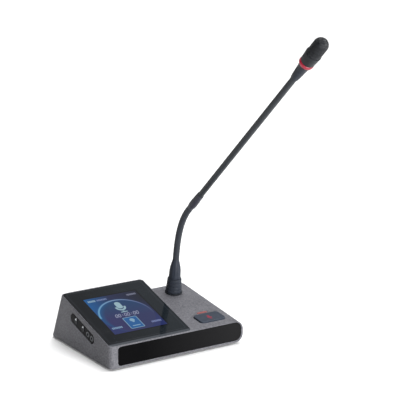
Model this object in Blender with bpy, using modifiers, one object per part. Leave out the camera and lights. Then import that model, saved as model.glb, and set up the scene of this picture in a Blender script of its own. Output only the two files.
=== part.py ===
# Conference delegate unit: a desk housing with a touch display, a talk key, side keys and jacks, and a gooseneck
# microphone that plugs into its deck.
#
# Metres, +Z up, the front faces -Y. The origin is the middle of the base plate's underside.

import math

import bmesh
import bpy
from mathutils import Matrix, Vector

# Housing
body_width = 0.192
body_depth = 0.1485
deck_width = 0.074
front_height = 0.0274
apex_height = 0.0619
apex_from_back = 0.0265
deck_back_height = 0.0433
deck_back_step = 0.0003
wall = 0.0024
front_wall = 0.0034
front_corner_radius = 0.006
back_corner_radius = 0.005
bullnose_radius = 0.011
post_radius = 0.0038
post_inset = 0.0045

# Gaps and overruns
gap = 0.0003
overrun = 0.002

# Base plate, its feet and screws
base_thickness = 0.0020
foot_radius = 0.006
foot_drop = 0.002
foot_recess = 0.0009
foot_inset = 0.016
screw_shank_radius = 0.0013
screw_head_radius = 0.0027
screw_head_height = 0.0011
screw_length = 0.009
speaker_slot_width = 0.002
speaker_slot_pitch = 0.0046
speaker_slot_count = 5

# Front insert
fascia_left_margin = 0.0113
fascia_right_margin = 0.0030
fascia_low = 0.0029
fascia_high = 0.0264
fascia_left_radius = 0.0035
fascia_right_radius = 0.0088
fascia_thickness = 0.0010
fascia_drop = 0.0003

# Display
glass_margin = 0.0015
glass_front_margin = 0.0026
glass_thickness = 0.0011
glass_drop = 0.0001
glass_radius = 0.0045
lcd_side_margin = 0.0160
lcd_front_margin = 0.0209
lcd_back_margin = 0.0187
lcd_thickness = 0.0035
lcd_radius = 0.001
bracket_rim = 0.004
bracket_floor = 0.0012

# Side panel with its keys and jacks
side_panel_length = 0.059
side_panel_height = 0.0124
side_panel_drop = 0.0004
side_panel_run = 0.0678
side_panel_below_top = 0.0141
side_flange = 0.0015
side_flange_thickness = 0.0010
volume_up_place = 0.0170
volume_down_place = -0.0010
headphone_place = -0.0137
headset_place = -0.0233
volume_radius = 0.0040
volume_proud = 0.0005
volume_travel = 0.0006
volume_flange = 0.0010
jack_radius = 0.0036
jack_bore_radius = 0.00178
jack_proud = 0.0002
jack_body_side = 0.0084
jack_body_length = 0.0100
side_board_thickness = 0.0012
side_switch_side = 0.0060

# Talk key and its light bar
deck_axis_from_right = 0.0350
key_width = 0.037
key_depth = 0.0222
key_radius = 0.005
key_run = 0.0240
key_proud = 0.0018
key_travel = 0.0012
key_flange = 0.0015
key_flange_thickness = 0.0012
switch_side = 0.010
bar_width = 0.0150
bar_depth = 0.0034
bar_run = 0.0408
bar_flange = 0.0010
bar_flange_thickness = 0.0010
bar_proud = 0.0002
deck_board_drop = 0.0095
deck_board_thickness = 0.0014
deck_board_width = 0.028
deck_board_front = 0.008
deck_board_margin = 0.003
board_radius = 0.001

# Microphone socket in the deck, its nut and the plug
socket_from_back = 0.02224
socket_flange_radius = 0.01135
socket_flange_height = 0.0018
socket_barrel_radius = 0.0085
socket_bore_radius = 0.0066
socket_depth = 0.0165
socket_floor = 0.0015
socket_nut_radius = 0.0125
socket_nut_height = 0.0035
plug_depth = 0.0140

# Locking ring and boot
ring_low_radius = 0.0104
ring_high_radius = 0.0089
ring_height = 0.0180
ring_rib_count = 4
ring_rib_depth = 0.0006
boot_low_radius = 0.0079
boot_waist_radius = 0.0075
boot_top = 0.0460
boot_base = 0.0207

# Gooseneck: its bending stretch, ferrule and stem
flex_radius = 0.00415
flex_first_hinge = 0.0500
flex_hinge_pitch = 0.0102
flex_dome_radius = 0.0052
flex_bend_degrees = 40.0
flex_bend_shares = (0.035, 0.07, 0.095, 0.12, 0.14, 0.16, 0.18, 0.20)
ferrule_radius = 0.0051
ferrule_swell = 0.0150
ferrule_shoulder = 0.0060
ferrule_length = 0.0420
ferrule_top_radius = 0.0046
stem_radius = 0.0038
stem_wall = 0.0008
stem_seat = 0.010
neck_start = 0.2992

# Microphone head, measured from the last hinge and from the neck's foot
neck_length = 0.0274
neck_foot_radius = 0.0045
neck_top_radius = 0.0076
neck_shares = ((0.0, 1.0), (0.13, 0.76), (0.27, 0.58), (0.45, 0.46), (0.70, 0.33), (0.86, 0.18), (1.0, 0.0))
spigot_radius = 0.0050
spigot_length = 0.0095
light_ring_radius = 0.00895
light_ring_height = 0.0046
collar_foot_radius = 0.0086
collar_top_radius = 0.0096
collar_height = 0.0149
windscreen_radius = 0.00885
windscreen_wall = 0.0012
windscreen_height = 0.0246
capsule_radius = 0.0070
capsule_height = 0.0110

# Boards, loudspeaker and ballast
board_low = 0.0062
board_thickness = 0.0016
board_left = 0.025
board_front = 0.045
board_to_speaker = 0.0227
board_boss_radius = 0.003
board_boss_inset = 0.007
board_screw_length = 0.005
speaker_radius = 0.021
speaker_run = 0.066
speaker_flange_height = 0.0018
speaker_cone_radius = 0.012
speaker_cone_height = 0.011
speaker_magnet_radius = 0.0135
speaker_magnet_height = 0.007
ballast_left = 0.018
ballast_width = 0.070
ballast_front = 0.015
ballast_depth = 0.028
ballast_height = 0.010

# Connector bay at the back
bay_to_step = 0.011
bay_width = 0.060
bay_low = 0.0023
bay_high = 0.0250
bay_depth = 0.0240
bay_wall = 0.0014
network_width = 0.0160
network_height = 0.0135
network_depth = 0.0150
network_pitch = 0.024
network_bore_width = 0.0118
network_bore_height = 0.0084
network_bore_depth = 0.0120
network_bore_low = 0.0022

# Roundness: segments of a full turn, and of a quarter turn of an outline or a dome
round_steps = 24
small_steps = 16
corner_steps = 5
dome_steps = 3
head_dome_steps = 6
nut_sides = 6

# Places and slopes that follow from the sizes above
front_y = -body_depth / 2
back_y = body_depth / 2
left_x = -body_width / 2
right_x = body_width / 2
step_x = right_x - deck_width
display_width = body_width - deck_width
apex_run = body_depth - apex_from_back
display_slope = (apex_height - front_height) / apex_run
back_lean = apex_from_back / apex_height
deck_run = body_depth - back_lean * deck_back_height
deck_slope = (deck_back_height - front_height) / deck_run
display_angle = math.atan(display_slope)
deck_angle = math.atan(deck_slope)
deck_axis_x = right_x - deck_axis_from_right
socket_run = deck_run - socket_from_back
bay_front = back_y - bay_depth
bay_right = step_x - bay_to_step
bay_left = bay_right - bay_width
side_panel_rise = front_height + display_slope * side_panel_run - side_panel_below_top


def on_slope(x, run, slope, angle):
    """Frame on a sloped top at a distance from the front face: X right, Y up the slope, Z out of it."""
    place = Vector((x, front_y + run, front_height + run * slope))
    return Matrix.Translation(place) @ Matrix.Rotation(angle, 4, "X")


def deck_frame(run):
    return on_slope(deck_axis_x, run, deck_slope, deck_angle)


def lifted(frame, height):
    return frame @ Matrix.Translation((0, 0, height))


display_frame = on_slope((left_x + step_x) / 2, 0, display_slope, display_angle)
front_frame = Matrix.Translation((0, front_y, 0)) @ Matrix.Rotation(math.radians(90), 4, "X")
world_frame = Matrix.Identity(4)
socket_frame = deck_frame(socket_run)


def side_frame(along):
    """Frame on the left wall: X up along the panel, Z out of the wall."""
    turn = Matrix((
        (0, 0, -1, 0),
        (math.cos(display_angle), math.sin(display_angle), 0, 0),
        (math.sin(display_angle), -math.cos(display_angle), 0, 0),
        (0, 0, 0, 1),
    ))
    place = Vector((left_x, front_y + side_panel_run, side_panel_rise))
    return Matrix.Translation(place) @ turn @ Matrix.Translation((along, 0, 0))


def flex_frames():
    """Frame at each hinge of the bending stretch, with Z along the stretch above the hinge."""
    frames = []
    frame = lifted(socket_frame, flex_first_hinge)
    for number, share in enumerate(flex_bend_shares):
        if number:
            frame = lifted(frame, flex_hinge_pitch)
        frame = frame @ Matrix.Rotation(math.radians(flex_bend_degrees * share), 4, "X")
        frames.append(frame)
    return frames


def clear_scene():
    for thing in list(bpy.data.objects):
        bpy.data.objects.remove(thing, do_unlink=True)


def make_collection(name):
    collection = bpy.data.collections.new(name)
    bpy.context.scene.collection.children.link(collection)
    return collection


clear_scene()
parts = make_collection("conference_delegate_unit")
tools = make_collection("cutters")


def finish(name, colour, roughness, metallic=0.0):
    material = bpy.data.materials.new(name)
    material.use_nodes = True
    shader = material.node_tree.nodes["Principled BSDF"]
    shader.inputs["Base Color"].default_value = (*colour, 1)
    shader.inputs["Roughness"].default_value = roughness
    shader.inputs["Metallic"].default_value = metallic
    return material


def add(name, mesh, frame, material=None):
    """Put a mesh in the scene as a part, or as a cutter where it has no material."""
    thing = bpy.data.objects.new(name, mesh)
    thing.matrix_world = frame
    if material is None:
        tools.objects.link(thing)
        thing.hide_render = True
        thing.display_type = "WIRE"
    else:
        parts.objects.link(thing)
        mesh.materials.append(material)
    return thing


def combine(target, tool, operation="DIFFERENCE"):
    modifier = target.modifiers.new(tool.name, "BOOLEAN")
    modifier.operation = operation
    modifier.object = tool
    return modifier


def box(name, low, high, frame=world_frame, material=None):
    mesh = bpy.data.meshes.new(name)
    bm = bmesh.new()
    bmesh.ops.create_cube(bm, size=1)
    size = [b - a for a, b in zip(low, high)]
    middle = [(a + b) / 2 for a, b in zip(low, high)]
    bmesh.ops.scale(bm, vec=size, verts=bm.verts)
    bmesh.ops.translate(bm, vec=middle, verts=bm.verts)
    bm.to_mesh(mesh)
    bm.free()
    return add(name, mesh, frame, material)


def rounded_outline(left, right, low, high, radii):
    """Corners of a rectangle rounded by arcs, from the lower left one counterclockwise."""
    corners = ((left, low), (right, low), (right, high), (left, high))
    inward = ((1, 1), (-1, 1), (-1, -1), (1, -1))
    points = []
    for number, ((x, y), (ax, ay), radius) in enumerate(zip(corners, inward, radii)):
        start = math.radians(180 + 90 * number)
        for step in range(corner_steps + 1):
            turn = start + math.radians(90) * step / corner_steps
            centre_x, centre_y = x + ax * radius, y + ay * radius
            points.append((centre_x + radius * math.cos(turn), centre_y + radius * math.sin(turn)))
    return points


def centred_outline(width, height, radius):
    return rounded_outline(-width / 2, width / 2, -height / 2, height / 2, [radius] * 4)


def plate(name, outline, low, high, frame=world_frame, material=None):
    """A flat outline in the frame's XY plane, filled from low to high along its Z."""
    curve = bpy.data.curves.new(name, "CURVE")
    curve.dimensions = "2D"
    curve.fill_mode = "BOTH"
    curve.extrude = (high - low) / 2
    spline = curve.splines.new("POLY")
    spline.points.add(len(outline) - 1)
    for point, (x, y) in zip(spline.points, outline):
        point.co = (x, y, 0, 1)
    spline.use_cyclic_u = True
    drawn = bpy.data.objects.new(name, curve)
    tools.objects.link(drawn)
    mesh = bpy.data.meshes.new_from_object(drawn.evaluated_get(bpy.context.evaluated_depsgraph_get()))
    bpy.data.objects.remove(drawn, do_unlink=True)
    bpy.data.curves.remove(curve)
    bm = bmesh.new()
    bm.from_mesh(mesh)
    bmesh.ops.translate(bm, vec=(0, 0, (low + high) / 2), verts=bm.verts)
    bmesh.ops.remove_doubles(bm, verts=bm.verts, dist=gap / 100)
    bm.to_mesh(mesh)
    bm.free()
    mesh.name = name
    return add(name, mesh, frame, material)


def turned(name, profile, frame, material=None, steps=round_steps, ring=False):
    """A profile of (radius, height) points turned about the frame's Z. Its outer side runs top to bottom."""
    mesh = bpy.data.meshes.new(name)
    edges = [(number, number + 1) for number in range(len(profile) - 1)]
    if ring:
        edges.append((len(profile) - 1, 0))
    mesh.from_pydata([(radius, 0, height) for radius, height in profile], edges, [])
    thing = add(name, mesh, frame, material)
    screw = thing.modifiers.new("Turn", "SCREW")
    screw.axis = "Z"
    screw.steps = steps
    screw.render_steps = steps
    screw.use_merge_vertices = True
    screw.merge_threshold = gap / 100
    screw.use_smooth_shade = True
    return thing


def rod(name, radius, low, high, frame, material=None, steps=small_steps):
    return turned(name, [(0, high), (radius, high), (radius, low), (0, low)], frame, material, steps)


def wedge_block(name, left, right, slope, inset, back_inset, front_inset, floor, roundings,
                material=None):
    """The body under one sloped top, drawn in from the outer faces by insets.

    roundings holds (corner signs, corner signs, radius) for each edge that is rounded.
    """
    top = front_height - inset * math.hypot(1, slope)
    back = back_y - back_inset * math.hypot(1, back_lean)
    front = front_y + front_inset

    def place(side, depth, level):
        x = left if side < 0 else right
        if depth < 0:
            return (x, front, floor if level < 0 else top + slope * (front - front_y))
        if level < 0:
            return (x, back - back_lean * floor, floor)
        y = (back - back_lean * (top - slope * front_y)) / (1 + back_lean * slope)
        return (x, y, top + slope * (y - front_y))

    mesh = bpy.data.meshes.new(name)
    bm = bmesh.new()
    bmesh.ops.create_cube(bm, size=1)
    signs = {}
    for vert in bm.verts:
        sign = tuple(1 if value > 0 else -1 for value in vert.co)
        signs[vert] = sign
        vert.co = place(*sign)
    weight = bm.edges.layers.float.new("bevel_weight_edge")
    widest = max(radius for _, _, radius in roundings)
    for edge in bm.edges:
        ends = {signs[vert] for vert in edge.verts}
        for first, second, radius in roundings:
            if ends == {first, second}:
                edge[weight] = radius / widest
    bm.to_mesh(mesh)
    bm.free()
    thing = add(name, mesh, world_frame, material)
    bevel = thing.modifiers.new("Rounding", "BEVEL")
    bevel.limit_method = "WEIGHT"
    bevel.width = widest
    bevel.segments = corner_steps + 1
    return thing


def wedge_part(name, inset, front_inset, floor, material=None):
    front_edge = ((-1, -1, -1), (-1, -1, 1), front_corner_radius - inset)
    back_edge = ((-1, 1, -1), (-1, 1, 1), back_corner_radius - inset)
    step_edge = ((1, 1, -1), (1, 1, 1), back_corner_radius - inset)
    roundings = [front_edge, back_edge, step_edge]
    left, right = left_x + inset, step_x - inset
    return wedge_block(name, left, right, display_slope, inset, inset, front_inset, floor, roundings, material)


def deck_part(name, left, inset, front_inset, floor):
    top_edge = ((1, -1, 1), (1, 1, 1), bullnose_radius - inset)
    low_edge = ((1, -1, -1), (1, 1, -1), bullnose_radius - inset)
    roundings = [top_edge, low_edge]
    back_inset = inset + deck_back_step
    return wedge_block(name, left, right_x - inset, deck_slope, inset, back_inset, front_inset, floor, roundings)


def base_limits():
    """Left, right, front and back of the opening in the housing's underside."""
    back = back_y - wall * math.hypot(1, back_lean) - back_lean * base_thickness
    return left_x + wall, right_x - bullnose_radius, front_y + front_wall, back


def post_places():
    left, right, front, back = base_limits()
    back_row = back - post_inset - back_lean * post_inset
    return [(x, y) for y in (front + post_inset, back_row) for x in (left + post_inset, right - post_inset)]


def add_housing(material):
    left, right, front, back = base_limits()
    cavity = wedge_part("display_cavity", wall, front_wall, wall)
    deck_cavity = deck_part("deck_cavity", step_x - bullnose_radius, wall, front_wall, wall)
    combine(cavity, deck_cavity, "UNION")
    opening = box("base_opening", (left, front, -overrun), (right, back, wall + gap))
    combine(cavity, opening, "UNION")
    for number, (x, y) in enumerate(post_places(), 1):
        frame = Matrix.Translation((x, y, base_thickness + gap))
        combine(cavity, rod(f"post_{number}", post_radius, 0, apex_height, frame))

    outer = wedge_part("top_housing", 0, 0, 0, material)
    combine(outer, deck_part("housing_deck", step_x - 2 * bullnose_radius, 0, 0, 0), "UNION")
    combine(outer, cavity)
    for number, (x, y) in enumerate(post_places(), 1):
        frame = Matrix.Translation((x, y, 0))
        bore = rod(f"post_bore_{number}", screw_shank_radius + gap, 0, screw_length + overrun, frame)
        combine(outer, bore)
    for cutter in housing_cutters():
        combine(outer, cutter)


def glass_limits():
    half = display_width / 2 - glass_margin
    back = apex_run * math.hypot(1, display_slope) - glass_margin
    return -half, half, glass_front_margin, back


def lcd_outline(grow, radius):
    """The display panel's outline in the display's frame, drawn out on every side."""
    left, right, low, high = glass_limits()
    return rounded_outline(left + lcd_side_margin - grow, right - lcd_side_margin + grow,
                           low + lcd_front_margin - grow, high - lcd_back_margin + grow, [radius] * 4)


def fascia_outline(grow):
    radii = [fascia_left_radius, fascia_right_radius, fascia_right_radius, fascia_left_radius]
    left, right = left_x + fascia_left_margin, right_x - fascia_right_margin
    return rounded_outline(left - grow, right + grow, fascia_low - grow, fascia_high + grow, radii)


def housing_cutters():
    """Everything that is cut into the shell from outside."""
    left, right, low, high = glass_limits()
    glass_seat = glass_drop + glass_thickness + gap
    glass_cut = rounded_outline(left - gap, right + gap, low - gap, high + gap, [glass_radius] * 4)
    yield plate("glass_recess", glass_cut, -glass_seat, overrun, display_frame)

    yield plate("display_window", lcd_outline(gap, lcd_radius), -wall - overrun, 0, display_frame)

    yield plate("fascia_recess", fascia_outline(gap), -fascia_drop - fascia_thickness - gap, overrun, front_frame)

    opening = centred_outline(side_panel_length + 2 * gap, side_panel_height + 2 * gap, side_panel_height / 2)
    yield plate("side_opening", opening, -wall - overrun, overrun, side_frame(0))

    key_hole = centred_outline(key_width + 2 * gap, key_depth + 2 * gap, key_radius)
    yield plate("key_opening", key_hole, -wall - overrun, overrun, deck_frame(key_run))

    bar_slot = centred_outline(bar_width + 2 * gap, bar_depth + 2 * gap, bar_depth / 2)
    yield plate("bar_slot", bar_slot, -wall - overrun, overrun, deck_frame(bar_run))

    yield rod("socket_hole", socket_barrel_radius + gap, -wall - overrun, overrun, socket_frame, steps=round_steps)

    low_corner = (bay_left - gap, bay_front, bay_low - gap)
    high_corner = (bay_right + gap, back_y + overrun, bay_high + gap)
    yield box("bay_opening", low_corner, high_corner)


def add_base_plate(material):
    left, right, front, back = base_limits()
    back_gap = gap * math.hypot(1, back_lean)
    thing = box("base_plate", (left + gap, front + gap, 0), (right - gap, back - back_gap, base_thickness),
                material=material)
    bore = screw_shank_radius + gap
    low, high = base_thickness / 2, board_low - gap
    boss = [(board_boss_radius, high), (board_boss_radius, low), (bore, low), (bore, high)]
    for number, (x, y) in enumerate(board_boss_places(), 1):
        frame = Matrix.Translation((x, y, 0))
        combine(thing, turned(f"board_boss_{number}", boss, frame, steps=small_steps, ring=True), "UNION")
    head, seat = screw_head_radius + gap, screw_head_height + gap
    hole = [(0, high), (bore, high), (bore, seat), (head, seat), (head, -overrun), (0, -overrun)]
    for number, (x, y) in enumerate(post_places(), 1):
        frame = Matrix.Translation((x, y, 0))
        combine(thing, turned(f"screw_hole_{number}", hole, frame, steps=small_steps))
    for number, (x, y) in enumerate(foot_places(), 1):
        frame = Matrix.Translation((x, y, 0))
        combine(thing, rod(f"foot_recess_{number}", foot_radius + gap, -overrun, foot_recess, frame))
    for number in range(speaker_slot_count):
        offset = (number - (speaker_slot_count - 1) / 2) * speaker_slot_pitch
        frame = Matrix.Translation((deck_axis_x + offset, front_y + speaker_run, 0))
        length = 2 * math.sqrt(speaker_cone_radius ** 2 - offset ** 2)
        slot = centred_outline(speaker_slot_width, length, speaker_slot_width / 2)
        combine(thing, plate(f"speaker_slot_{number + 1}", slot, -overrun, board_low, frame))


def foot_places():
    left, right, front, back = base_limits()
    return [(x, y) for y in (front + foot_inset, back - foot_inset)
            for x in (left + foot_inset, right - foot_inset)]


def add_feet(material):
    for number, (x, y) in enumerate(foot_places(), 1):
        frame = Matrix.Translation((x, y, 0))
        top = foot_recess - gap
        chamfer = foot_drop / 4
        profile = [(0, top), (foot_radius, top), (foot_radius, chamfer - foot_drop),
                   (foot_radius - chamfer, -foot_drop), (0, -foot_drop)]
        turned(f"rubber_foot_{number}", profile, frame, material, small_steps)


def screw_profile(length):
    """A pan head from the frame's origin down, with its shank above it."""
    return [(0, length), (screw_shank_radius, length), (screw_shank_radius, screw_head_height),
            (screw_head_radius, screw_head_height), (screw_head_radius, 0), (0, 0)]


def add_screws(material):
    for number, (x, y) in enumerate(post_places(), 1):
        turned(f"base_screw_{number}", screw_profile(screw_length), Matrix.Translation((x, y, 0)), material,
               small_steps)
    for number, (x, y) in enumerate(board_boss_places()[:2], 1):
        top = board_low + board_thickness + gap + screw_head_height
        frame = Matrix.Translation((x, y, top)) @ Matrix.Rotation(math.radians(180), 4, "X")
        turned(f"board_screw_{number}", screw_profile(screw_head_height + board_screw_length), frame, material,
               small_steps)


def add_fascia(material):
    plate("front_fascia", fascia_outline(0), -fascia_drop - fascia_thickness, -fascia_drop, front_frame, material)


def add_display(glass, black, metal):
    left, right, low, high = glass_limits()
    outline = rounded_outline(left, right, low, high, [glass_radius] * 4)
    plate("screen_glass", outline, -glass_drop - glass_thickness, -glass_drop, display_frame, glass)

    top = -glass_drop - glass_thickness - gap
    plate("lcd_module", lcd_outline(0, lcd_radius), top - lcd_thickness, top, display_frame, black)

    floor = top - lcd_thickness - gap
    outer = lcd_outline(bracket_rim, bracket_rim)
    bracket = plate("lcd_bracket", outer, floor - bracket_floor, -wall - gap, display_frame, metal)
    combine(bracket, plate("bracket_pocket", lcd_outline(gap, lcd_radius), floor, 0, display_frame))


def add_side_panel(panel_finish, key_finish, jack_finish, board_finish):
    frame = side_frame(0)
    front = -side_panel_drop
    back = -wall - gap - side_flange_thickness
    insert = centred_outline(side_panel_length, side_panel_height, side_panel_height / 2)
    panel = plate("side_panel", insert, back, front, frame, panel_finish)
    flange_length, flange_height = side_panel_length + 2 * side_flange, side_panel_height + 2 * side_flange
    flange = plate("side_panel_flange", centred_outline(flange_length, flange_height, flange_height / 2),
                   back, back + side_flange_thickness, frame)
    combine(panel, flange, "UNION")

    key_back = back - gap - volume_flange
    for name, along in (("volume_up", volume_up_place), ("volume_down", volume_down_place)):
        place = side_frame(along)
        combine(panel, rod(f"{name}_hole", volume_radius + gap, back - overrun, front + overrun, place))
        rim = volume_radius + volume_flange
        profile = [(0, front + volume_proud), (volume_radius, front + volume_proud), (volume_radius, back - gap),
                   (rim, back - gap), (rim, key_back), (0, key_back)]
        turned(f"{name}_button", profile, place, key_finish, small_steps)

    for name, along in (("headphone_jack", headphone_place), ("headset_mic_jack", headset_place)):
        place = side_frame(along)
        combine(panel, rod(f"{name}_hole", jack_radius + gap, back - overrun, front + overrun, place))
        half = jack_body_side / 2
        body_back = back - gap - jack_body_length
        jack = box(name, (-half, -half, body_back), (half, half, back - gap), place, jack_finish)
        combine(jack, rod(f"{name}_collar", jack_radius, back - overrun, front + jack_proud, place), "UNION")
        combine(jack, rod(f"{name}_bore", jack_bore_radius, body_back + overrun, front + overrun, place))

    board_top = back - 2 * gap - jack_body_length
    board = centred_outline(side_panel_length, side_panel_height - 2 * side_flange, board_radius)
    plate("side_board", board, board_top - side_board_thickness, board_top, frame, board_finish)

    half = side_switch_side / 2
    for name, along in (("volume_up_switch", volume_up_place), ("volume_down_switch", volume_down_place)):
        box(name, (-half, -half, board_top + gap), (half, half, key_back - volume_travel - gap), side_frame(along),
            board_finish)


def add_talk_key(key_finish, light_finish, switch_finish, board_finish):
    frame = deck_frame(key_run)
    back = -wall - gap - key_flange_thickness
    key = plate("mic_button", centred_outline(key_width, key_depth, key_radius), back, key_proud, frame, key_finish)
    flange = centred_outline(key_width + 2 * key_flange, key_depth + 2 * key_flange, key_radius)
    combine(key, plate("key_flange", flange, back, -wall - gap, frame), "UNION")

    board_top = -deck_board_drop
    half = switch_side / 2
    switch_low, switch_high = board_top + gap, back - key_travel - gap
    box("button_switch", (-half, -half, switch_low), (half, half, switch_high), frame, switch_finish)

    bar_frame = deck_frame(bar_run)
    bar_low = -wall - gap - bar_flange_thickness
    bar = plate("button_light_bar", centred_outline(bar_width, bar_depth, bar_depth / 2), bar_low, bar_proud,
                bar_frame, light_finish)
    rim = centred_outline(bar_width + 2 * bar_flange, bar_depth + 2 * bar_flange, bar_depth / 2 + bar_flange)
    combine(bar, plate("bar_flange", rim, bar_low, -wall - gap, bar_frame), "UNION")
    guide = centred_outline(bar_width / 2, bar_depth, bar_depth / 2)
    combine(bar, plate("bar_guide", guide, board_top + gap, bar_low + bar_flange_thickness / 2, bar_frame), "UNION")

    back_edge = (bar_run - key_run) * math.hypot(1, deck_slope) + bar_depth / 2 + deck_board_margin
    half_width = deck_board_width / 2
    outline = rounded_outline(-half_width, half_width, -deck_board_front, back_edge, [board_radius] * 4)
    plate("deck_board", outline, board_top - deck_board_thickness, board_top, frame, board_finish)


def add_socket(socket_finish, nut_finish):
    inner, outer = socket_bore_radius, socket_barrel_radius
    flange_top = gap + socket_flange_height
    profile = [(0, socket_floor - socket_depth), (inner, socket_floor - socket_depth), (inner, flange_top),
               (socket_flange_radius, flange_top), (socket_flange_radius, gap), (outer, gap),
               (outer, -socket_depth), (0, -socket_depth)]
    turned("mic_socket", profile, socket_frame, socket_finish)

    top = -wall - gap
    mesh = bpy.data.meshes.new("socket_nut")
    bm = bmesh.new()
    bmesh.ops.create_cone(bm, cap_ends=True, segments=nut_sides, radius1=socket_nut_radius,
                          radius2=socket_nut_radius, depth=socket_nut_height)
    bmesh.ops.translate(bm, vec=(0, 0, top - socket_nut_height / 2), verts=bm.verts)
    bm.to_mesh(mesh)
    bm.free()
    nut = add("socket_nut", mesh, socket_frame, nut_finish)
    bore = rod("nut_bore", outer + gap, -socket_depth, overrun, socket_frame, steps=round_steps)
    combine(nut, bore)


def ring_low():
    return 2 * gap + socket_flange_height


def add_microphone_foot(ring_finish, plug_finish, boot_finish):
    low = ring_low()
    high = low + ring_height
    radius = socket_bore_radius - gap
    rod("mic_plug", radius, -plug_depth, boot_base - gap, socket_frame, plug_finish, round_steps)

    outer = []
    levels = 4 * ring_rib_count
    for level in range(levels + 1):
        share = level / levels
        edge = ring_high_radius + (ring_low_radius - ring_high_radius) * share
        dip = ring_rib_depth if level % 4 in (1, 2) else 0
        outer.append((edge - dip, high - ring_height * share))
    turned("locking_ring", outer + [(radius + gap, low), (radius + gap, high)], socket_frame, ring_finish, ring=True)

    dome = dome_profile(flex_first_hinge)
    rise = boot_top - boot_base
    shoulder_shares = ((0.30, 1.0), (0.45, 0.93), (0.62, 0.72), (0.80, 0.40), (1.0, 0.0))
    body = [(flex_radius + (boot_waist_radius - flex_radius) * width, boot_top - rise * (1 - drop))
            for drop, width in reversed(shoulder_shares)]
    foot = [(boot_low_radius, boot_base), (0, boot_base)]
    turned("flex_boot", dome + body + foot, socket_frame, boot_finish)


def dome_profile(hinge_height):
    """The rounded upper end of a link, centred on the hinge above it."""
    edge = math.asin(flex_radius / flex_dome_radius)
    angles = [edge * step / dome_steps for step in range(dome_steps + 1)]
    return [(flex_dome_radius * math.sin(turn), hinge_height + flex_dome_radius * math.cos(turn))
            for turn in angles]


def cup_profile():
    """The hollow lower end of a link, centred on the hinge below it."""
    reach = flex_dome_radius + gap
    edge = math.asin(flex_radius / reach)
    angles = [edge * (1 - step / dome_steps) for step in range(dome_steps + 1)]
    return [(reach * math.sin(turn), reach * math.cos(turn)) for turn in angles]


def add_gooseneck(flex_finish, metal_finish, stem_finish):
    frames = flex_frames()
    link = dome_profile(flex_hinge_pitch) + cup_profile()
    for number, frame in enumerate(frames[:-1], 1):
        turned(f"flex_link_{number}", link, frame, flex_finish, small_steps)

    top = ferrule_length
    seat = top - stem_seat
    bore = stem_radius + gap
    swell_end = ferrule_swell + ferrule_shoulder
    profile = [(0, seat), (bore, seat), (bore, top), (ferrule_top_radius, top), (ferrule_radius, swell_end),
               (ferrule_radius, ferrule_swell), (flex_radius, flex_dome_radius + ferrule_shoulder)]
    turned("flex_ferrule", profile + cup_profile(), frames[-1], metal_finish)

    outer, inner = stem_radius, stem_radius - stem_wall
    low, high = seat + gap, neck_start + stem_seat
    turned("stem_tube", [(outer, high), (outer, low), (inner, low), (inner, high)], frames[-1], stem_finish,
           small_steps, ring=True)


def add_head(neck_finish, light_finish, collar_finish, screen_finish, capsule_finish):
    base = lifted(flex_frames()[-1], neck_start)
    bore = stem_radius + gap
    seat = stem_seat + gap
    spigot_top = neck_length + spigot_length
    swell = neck_top_radius - neck_foot_radius
    cone = [(neck_foot_radius + swell * width, neck_length * (1 - fall)) for fall, width in neck_shares]
    profile = [(0, spigot_top), (spigot_radius, spigot_top), (spigot_radius, neck_length)] + cone
    turned("neck_cone", profile + [(bore, 0), (bore, seat), (0, seat)], base, neck_finish)

    hole = spigot_radius + gap
    ring_foot = neck_length + gap
    ring_top = ring_foot + light_ring_height
    edge = light_ring_radius
    turned("light_ring", [(edge, ring_top), (edge, ring_foot), (hole, ring_foot), (hole, ring_top)], base,
           light_finish, ring=True)

    foot = ring_top + gap
    top = foot + collar_height
    pocket = spigot_top + gap
    profile = [(0, top), (collar_top_radius, top), (collar_foot_radius, foot), (hole, foot), (hole, pocket),
               (0, pocket)]
    turned("capsule_collar", profile, base, collar_finish)

    screen_foot = top + gap
    centre = screen_foot + windscreen_height - windscreen_radius
    inner = windscreen_radius - windscreen_wall
    turns = [math.radians(90) * step / head_dome_steps for step in range(head_dome_steps + 1)]
    outer_arc = [(windscreen_radius * math.sin(turn), centre + windscreen_radius * math.cos(turn)) for turn in turns]
    inner_arc = [(inner * math.sin(turn), centre + inner * math.cos(turn)) for turn in reversed(turns)]
    turned("windscreen", outer_arc + [(windscreen_radius, screen_foot), (inner, screen_foot)] + inner_arc, base,
           screen_finish)

    rod("mic_capsule", capsule_radius, screen_foot, screen_foot + capsule_height, base, capsule_finish)


def board_limits():
    right = deck_axis_x - speaker_radius - board_to_speaker
    return left_x + board_left, right, front_y + board_front, bay_front - gap


def board_boss_places():
    left, right, front, back = board_limits()
    return [(x, y) for y in (front + board_boss_inset, back - board_boss_inset)
            for x in (left + board_boss_inset, right - board_boss_inset)]


def add_boards(board_finish):
    left, right, front, back = board_limits()
    board = box("main_board", (left, front, board_low), (right, back, board_low + board_thickness),
                material=board_finish)
    for number, (x, y) in enumerate(board_boss_places()[:2], 1):
        frame = Matrix.Translation((x, y, 0))
        combine(board, rod(f"board_hole_{number}", screw_shank_radius + gap, 0, apex_height, frame))


def add_loudspeaker(material):
    frame = Matrix.Translation((deck_axis_x, front_y + speaker_run, base_thickness + gap))
    cone_top = speaker_flange_height + speaker_cone_height
    top = cone_top + speaker_magnet_height
    profile = [(0, top), (speaker_magnet_radius, top), (speaker_magnet_radius, cone_top),
               (speaker_cone_radius, cone_top), (speaker_radius - speaker_flange_height, speaker_flange_height),
               (speaker_radius, speaker_flange_height), (speaker_radius, 0), (speaker_cone_radius, 0),
               (0, speaker_cone_height)]
    turned("loudspeaker", profile, frame, material)


def add_ballast(material):
    left, front = left_x + ballast_left, front_y + ballast_front
    low = base_thickness + gap
    box("ballast_plate", (left, front, low), (left + ballast_width, front + ballast_depth, low + ballast_height),
        material=material)


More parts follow.
